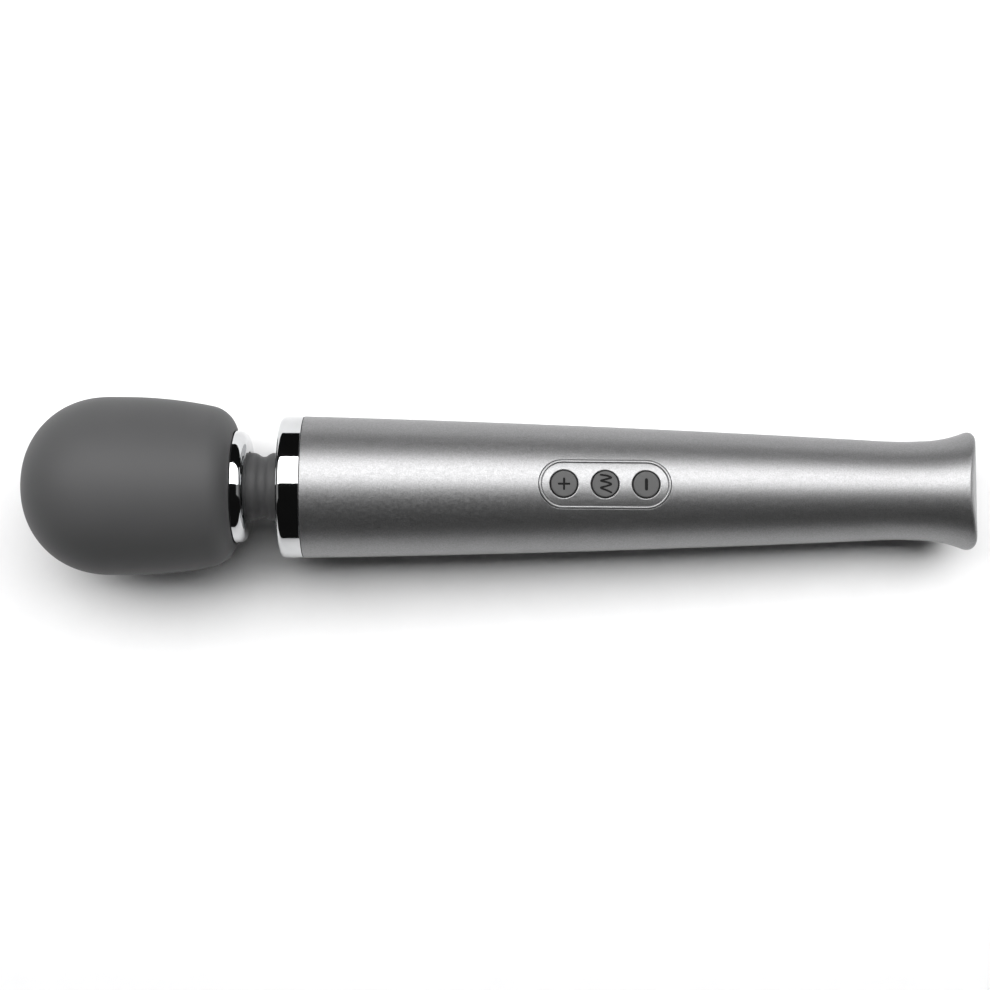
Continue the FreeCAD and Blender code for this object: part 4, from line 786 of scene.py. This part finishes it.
def key_face(skin, x, top, icon):
    """The key's flat top, with its icon sunk into it."""
    points, faces = [], []
    for shape in [circle(0, 0, KEY_RADIUS - KEY_EDGE)] + icon:
        faces.append(list(range(len(points), len(points) + len(shape))))
        points += [Vector(p) for p in shape]
    flat, _, pieces, _, _, sources = delaunay_2d_cdt(points, [], faces, 1, 1e-6)
    sunk = [any(source > 0 for source in group) for group in sources]

    def spot(i, depth):
        return (x + flat[i].x, flat[i].y, top - depth)

    owners = {}
    for number, face in enumerate(pieces):
        depth = ICON_DEPTH if sunk[number] else 0.0
        skin.add([spot(i, depth) for i in face], [range(len(face))], slot=int(sunk[number]))
        for a, b in zip(face, face[1:] + face[:1]):
            owners.setdefault(frozenset((a, b)), []).append((number, a, b))
    for sides in owners.values():
        if len(sides) == 2 and sunk[sides[0][0]] != sunk[sides[1][0]]:
            _, a, b = next(side for side in sides if sunk[side[0]])
            wall = [spot(a, 0), spot(b, 0), spot(b, ICON_DEPTH), spot(a, ICON_DEPTH)]
            skin.add(wall, [(0, 3, 2, 1)])


def make_key(name):
    """A key with its rounded edge, its flange under the panel and its stem."""
    x, bottom, top = KEYS[name].x, extent(f"button_{name}")[0].z, extent(f"button_{name}")[1].z
    skin = Skin()
    key_face(skin, x, top, ICONS[name])
    turns = [math.radians(15 * i) for i in range(7)]
    edge = [(math.sin(turn), math.cos(turn)) for turn in turns]
    side = [(KEY_RADIUS - KEY_EDGE + KEY_EDGE * u, top - KEY_EDGE + KEY_EDGE * v) for u, v in edge]
    side += [(KEY_RADIUS, top - FLANGE_TOP), (FLANGE_RADIUS, top - FLANGE_TOP)]
    side += [(FLANGE_RADIUS, top - FLANGE_BOTTOM), (STEM_RADIUS, top - FLANGE_BOTTOM)]
    side += [(STEM_RADIUS, bottom), (0, bottom)]
    skin.rows([[(x + u, v, z) for u, v in circle(0, 0, r)] for r, z in side])
    key = skin.build(f"key_{name}", [MATERIALS["key_rubber"], ICON_DARK])
    finished(key, f"{name}_key", "key_rubber", f"button_{name}")


# ---------------------------------------------------------------- stage


def softbox(name, centre, target, wide, long, radiance):
    """A flat light that faces its target; its brightness is that of its face."""
    light = bpy.data.lights.new(name, "AREA")
    light.shape = "RECTANGLE"
    light.size, light.size_y = wide, long
    light.energy = radiance * math.pi * wide * long
    lamp = bpy.data.objects.new(name, light)
    lamp.location = centre
    lamp.rotation_euler = (Vector(target) - Vector(centre)).to_track_quat("-Z", "Y").to_euler()
    bpy.context.scene.collection.objects.link(lamp)


def make_floor():
    """A sheet of pale paper, no wider than the light that falls on it."""
    low, near, far, side = cad_box[0].z, -0.55, 1.0, 1.0
    corners = [(-side, near, low), (side, near, low), (side, far, low), (-side, far, low)]
    mesh = bpy.data.meshes.new("floor")
    mesh.from_pydata(corners, [], [(0, 1, 2, 3)])
    paper = plain("floor_paper", (0.73, 0.73, 0.733), 0.9, grain=0.5, relief=0.0, variety=0.01)
    mesh.materials.append(paper)
    floor = bpy.data.objects.new("floor", mesh)
    bpy.context.scene.collection.objects.link(floor)


def make_world():
    """A dark room, so that only the lights show in the bright trim, behind a white backdrop."""
    world = bpy.data.worlds.new("studio")
    world.use_nodes = True
    nodes, links = world.node_tree.nodes, world.node_tree.links
    room, paper = nodes["Background"], nodes.new("ShaderNodeBackground")
    room.inputs["Color"].default_value = (0.008, 0.008, 0.008, 1)
    paper.inputs["Color"].default_value = (1, 1, 1, 1)
    seen, choice = nodes.new("ShaderNodeLightPath"), nodes.new("ShaderNodeMixShader")
    links.new(seen.outputs["Is Camera Ray"], choice.inputs["Fac"])
    links.new(room.outputs["Background"], choice.inputs[1])
    links.new(paper.outputs["Background"], choice.inputs[2])
    links.new(choice.outputs["Shader"], nodes["World Output"].inputs["Surface"])
    bpy.context.scene.world = world


def make_lights():
    """One long softbox overhead, behind the wand, and a dim one past each end."""
    softbox("overhead", (0, 0.47, 0.95), (0, 0.47, 0), 2.8, 0.88, 5.6)
    for side in (-1, 1):
        softbox(f"end_{side + 1}", (side * 1.6, 0.1, 0.9), (0, 0, 0), 1.4, 1.2, 0.3)


def make_camera():
    """Nearly overhead, with the whole wand across the picture."""
    camera = bpy.data.objects.new("camera", bpy.data.cameras.new("camera"))
    camera.data.lens = 52.93
    camera.data.clip_start = 0.01
    elevation, roll = math.radians(85.96), math.radians(0.179)
    distance = 0.520
    aim = WAND @ Vector((166.0, -2.42, 0))
    back = Vector((0, -math.cos(elevation), math.sin(elevation)))
    camera.location = aim + back * distance
    right = Vector((math.cos(roll), math.sin(roll), 0))
    upward = back.cross(right).normalized()
    right = upward.cross(back)
    camera.rotation_euler = Matrix((right, upward, back)).transposed().to_euler()
    bpy.context.scene.collection.objects.link(camera)
    bpy.context.scene.camera = camera
    bpy.context.scene.view_settings.view_transform = "Standard"


make_head()
make_neck()
make_collar()
make_shell()
make_end_cap()
make_panel()
for key_name in KEYS:
    make_key(key_name)
make_floor()
make_world()
make_lights()
make_camera()

bpy.context.view_layer.update()
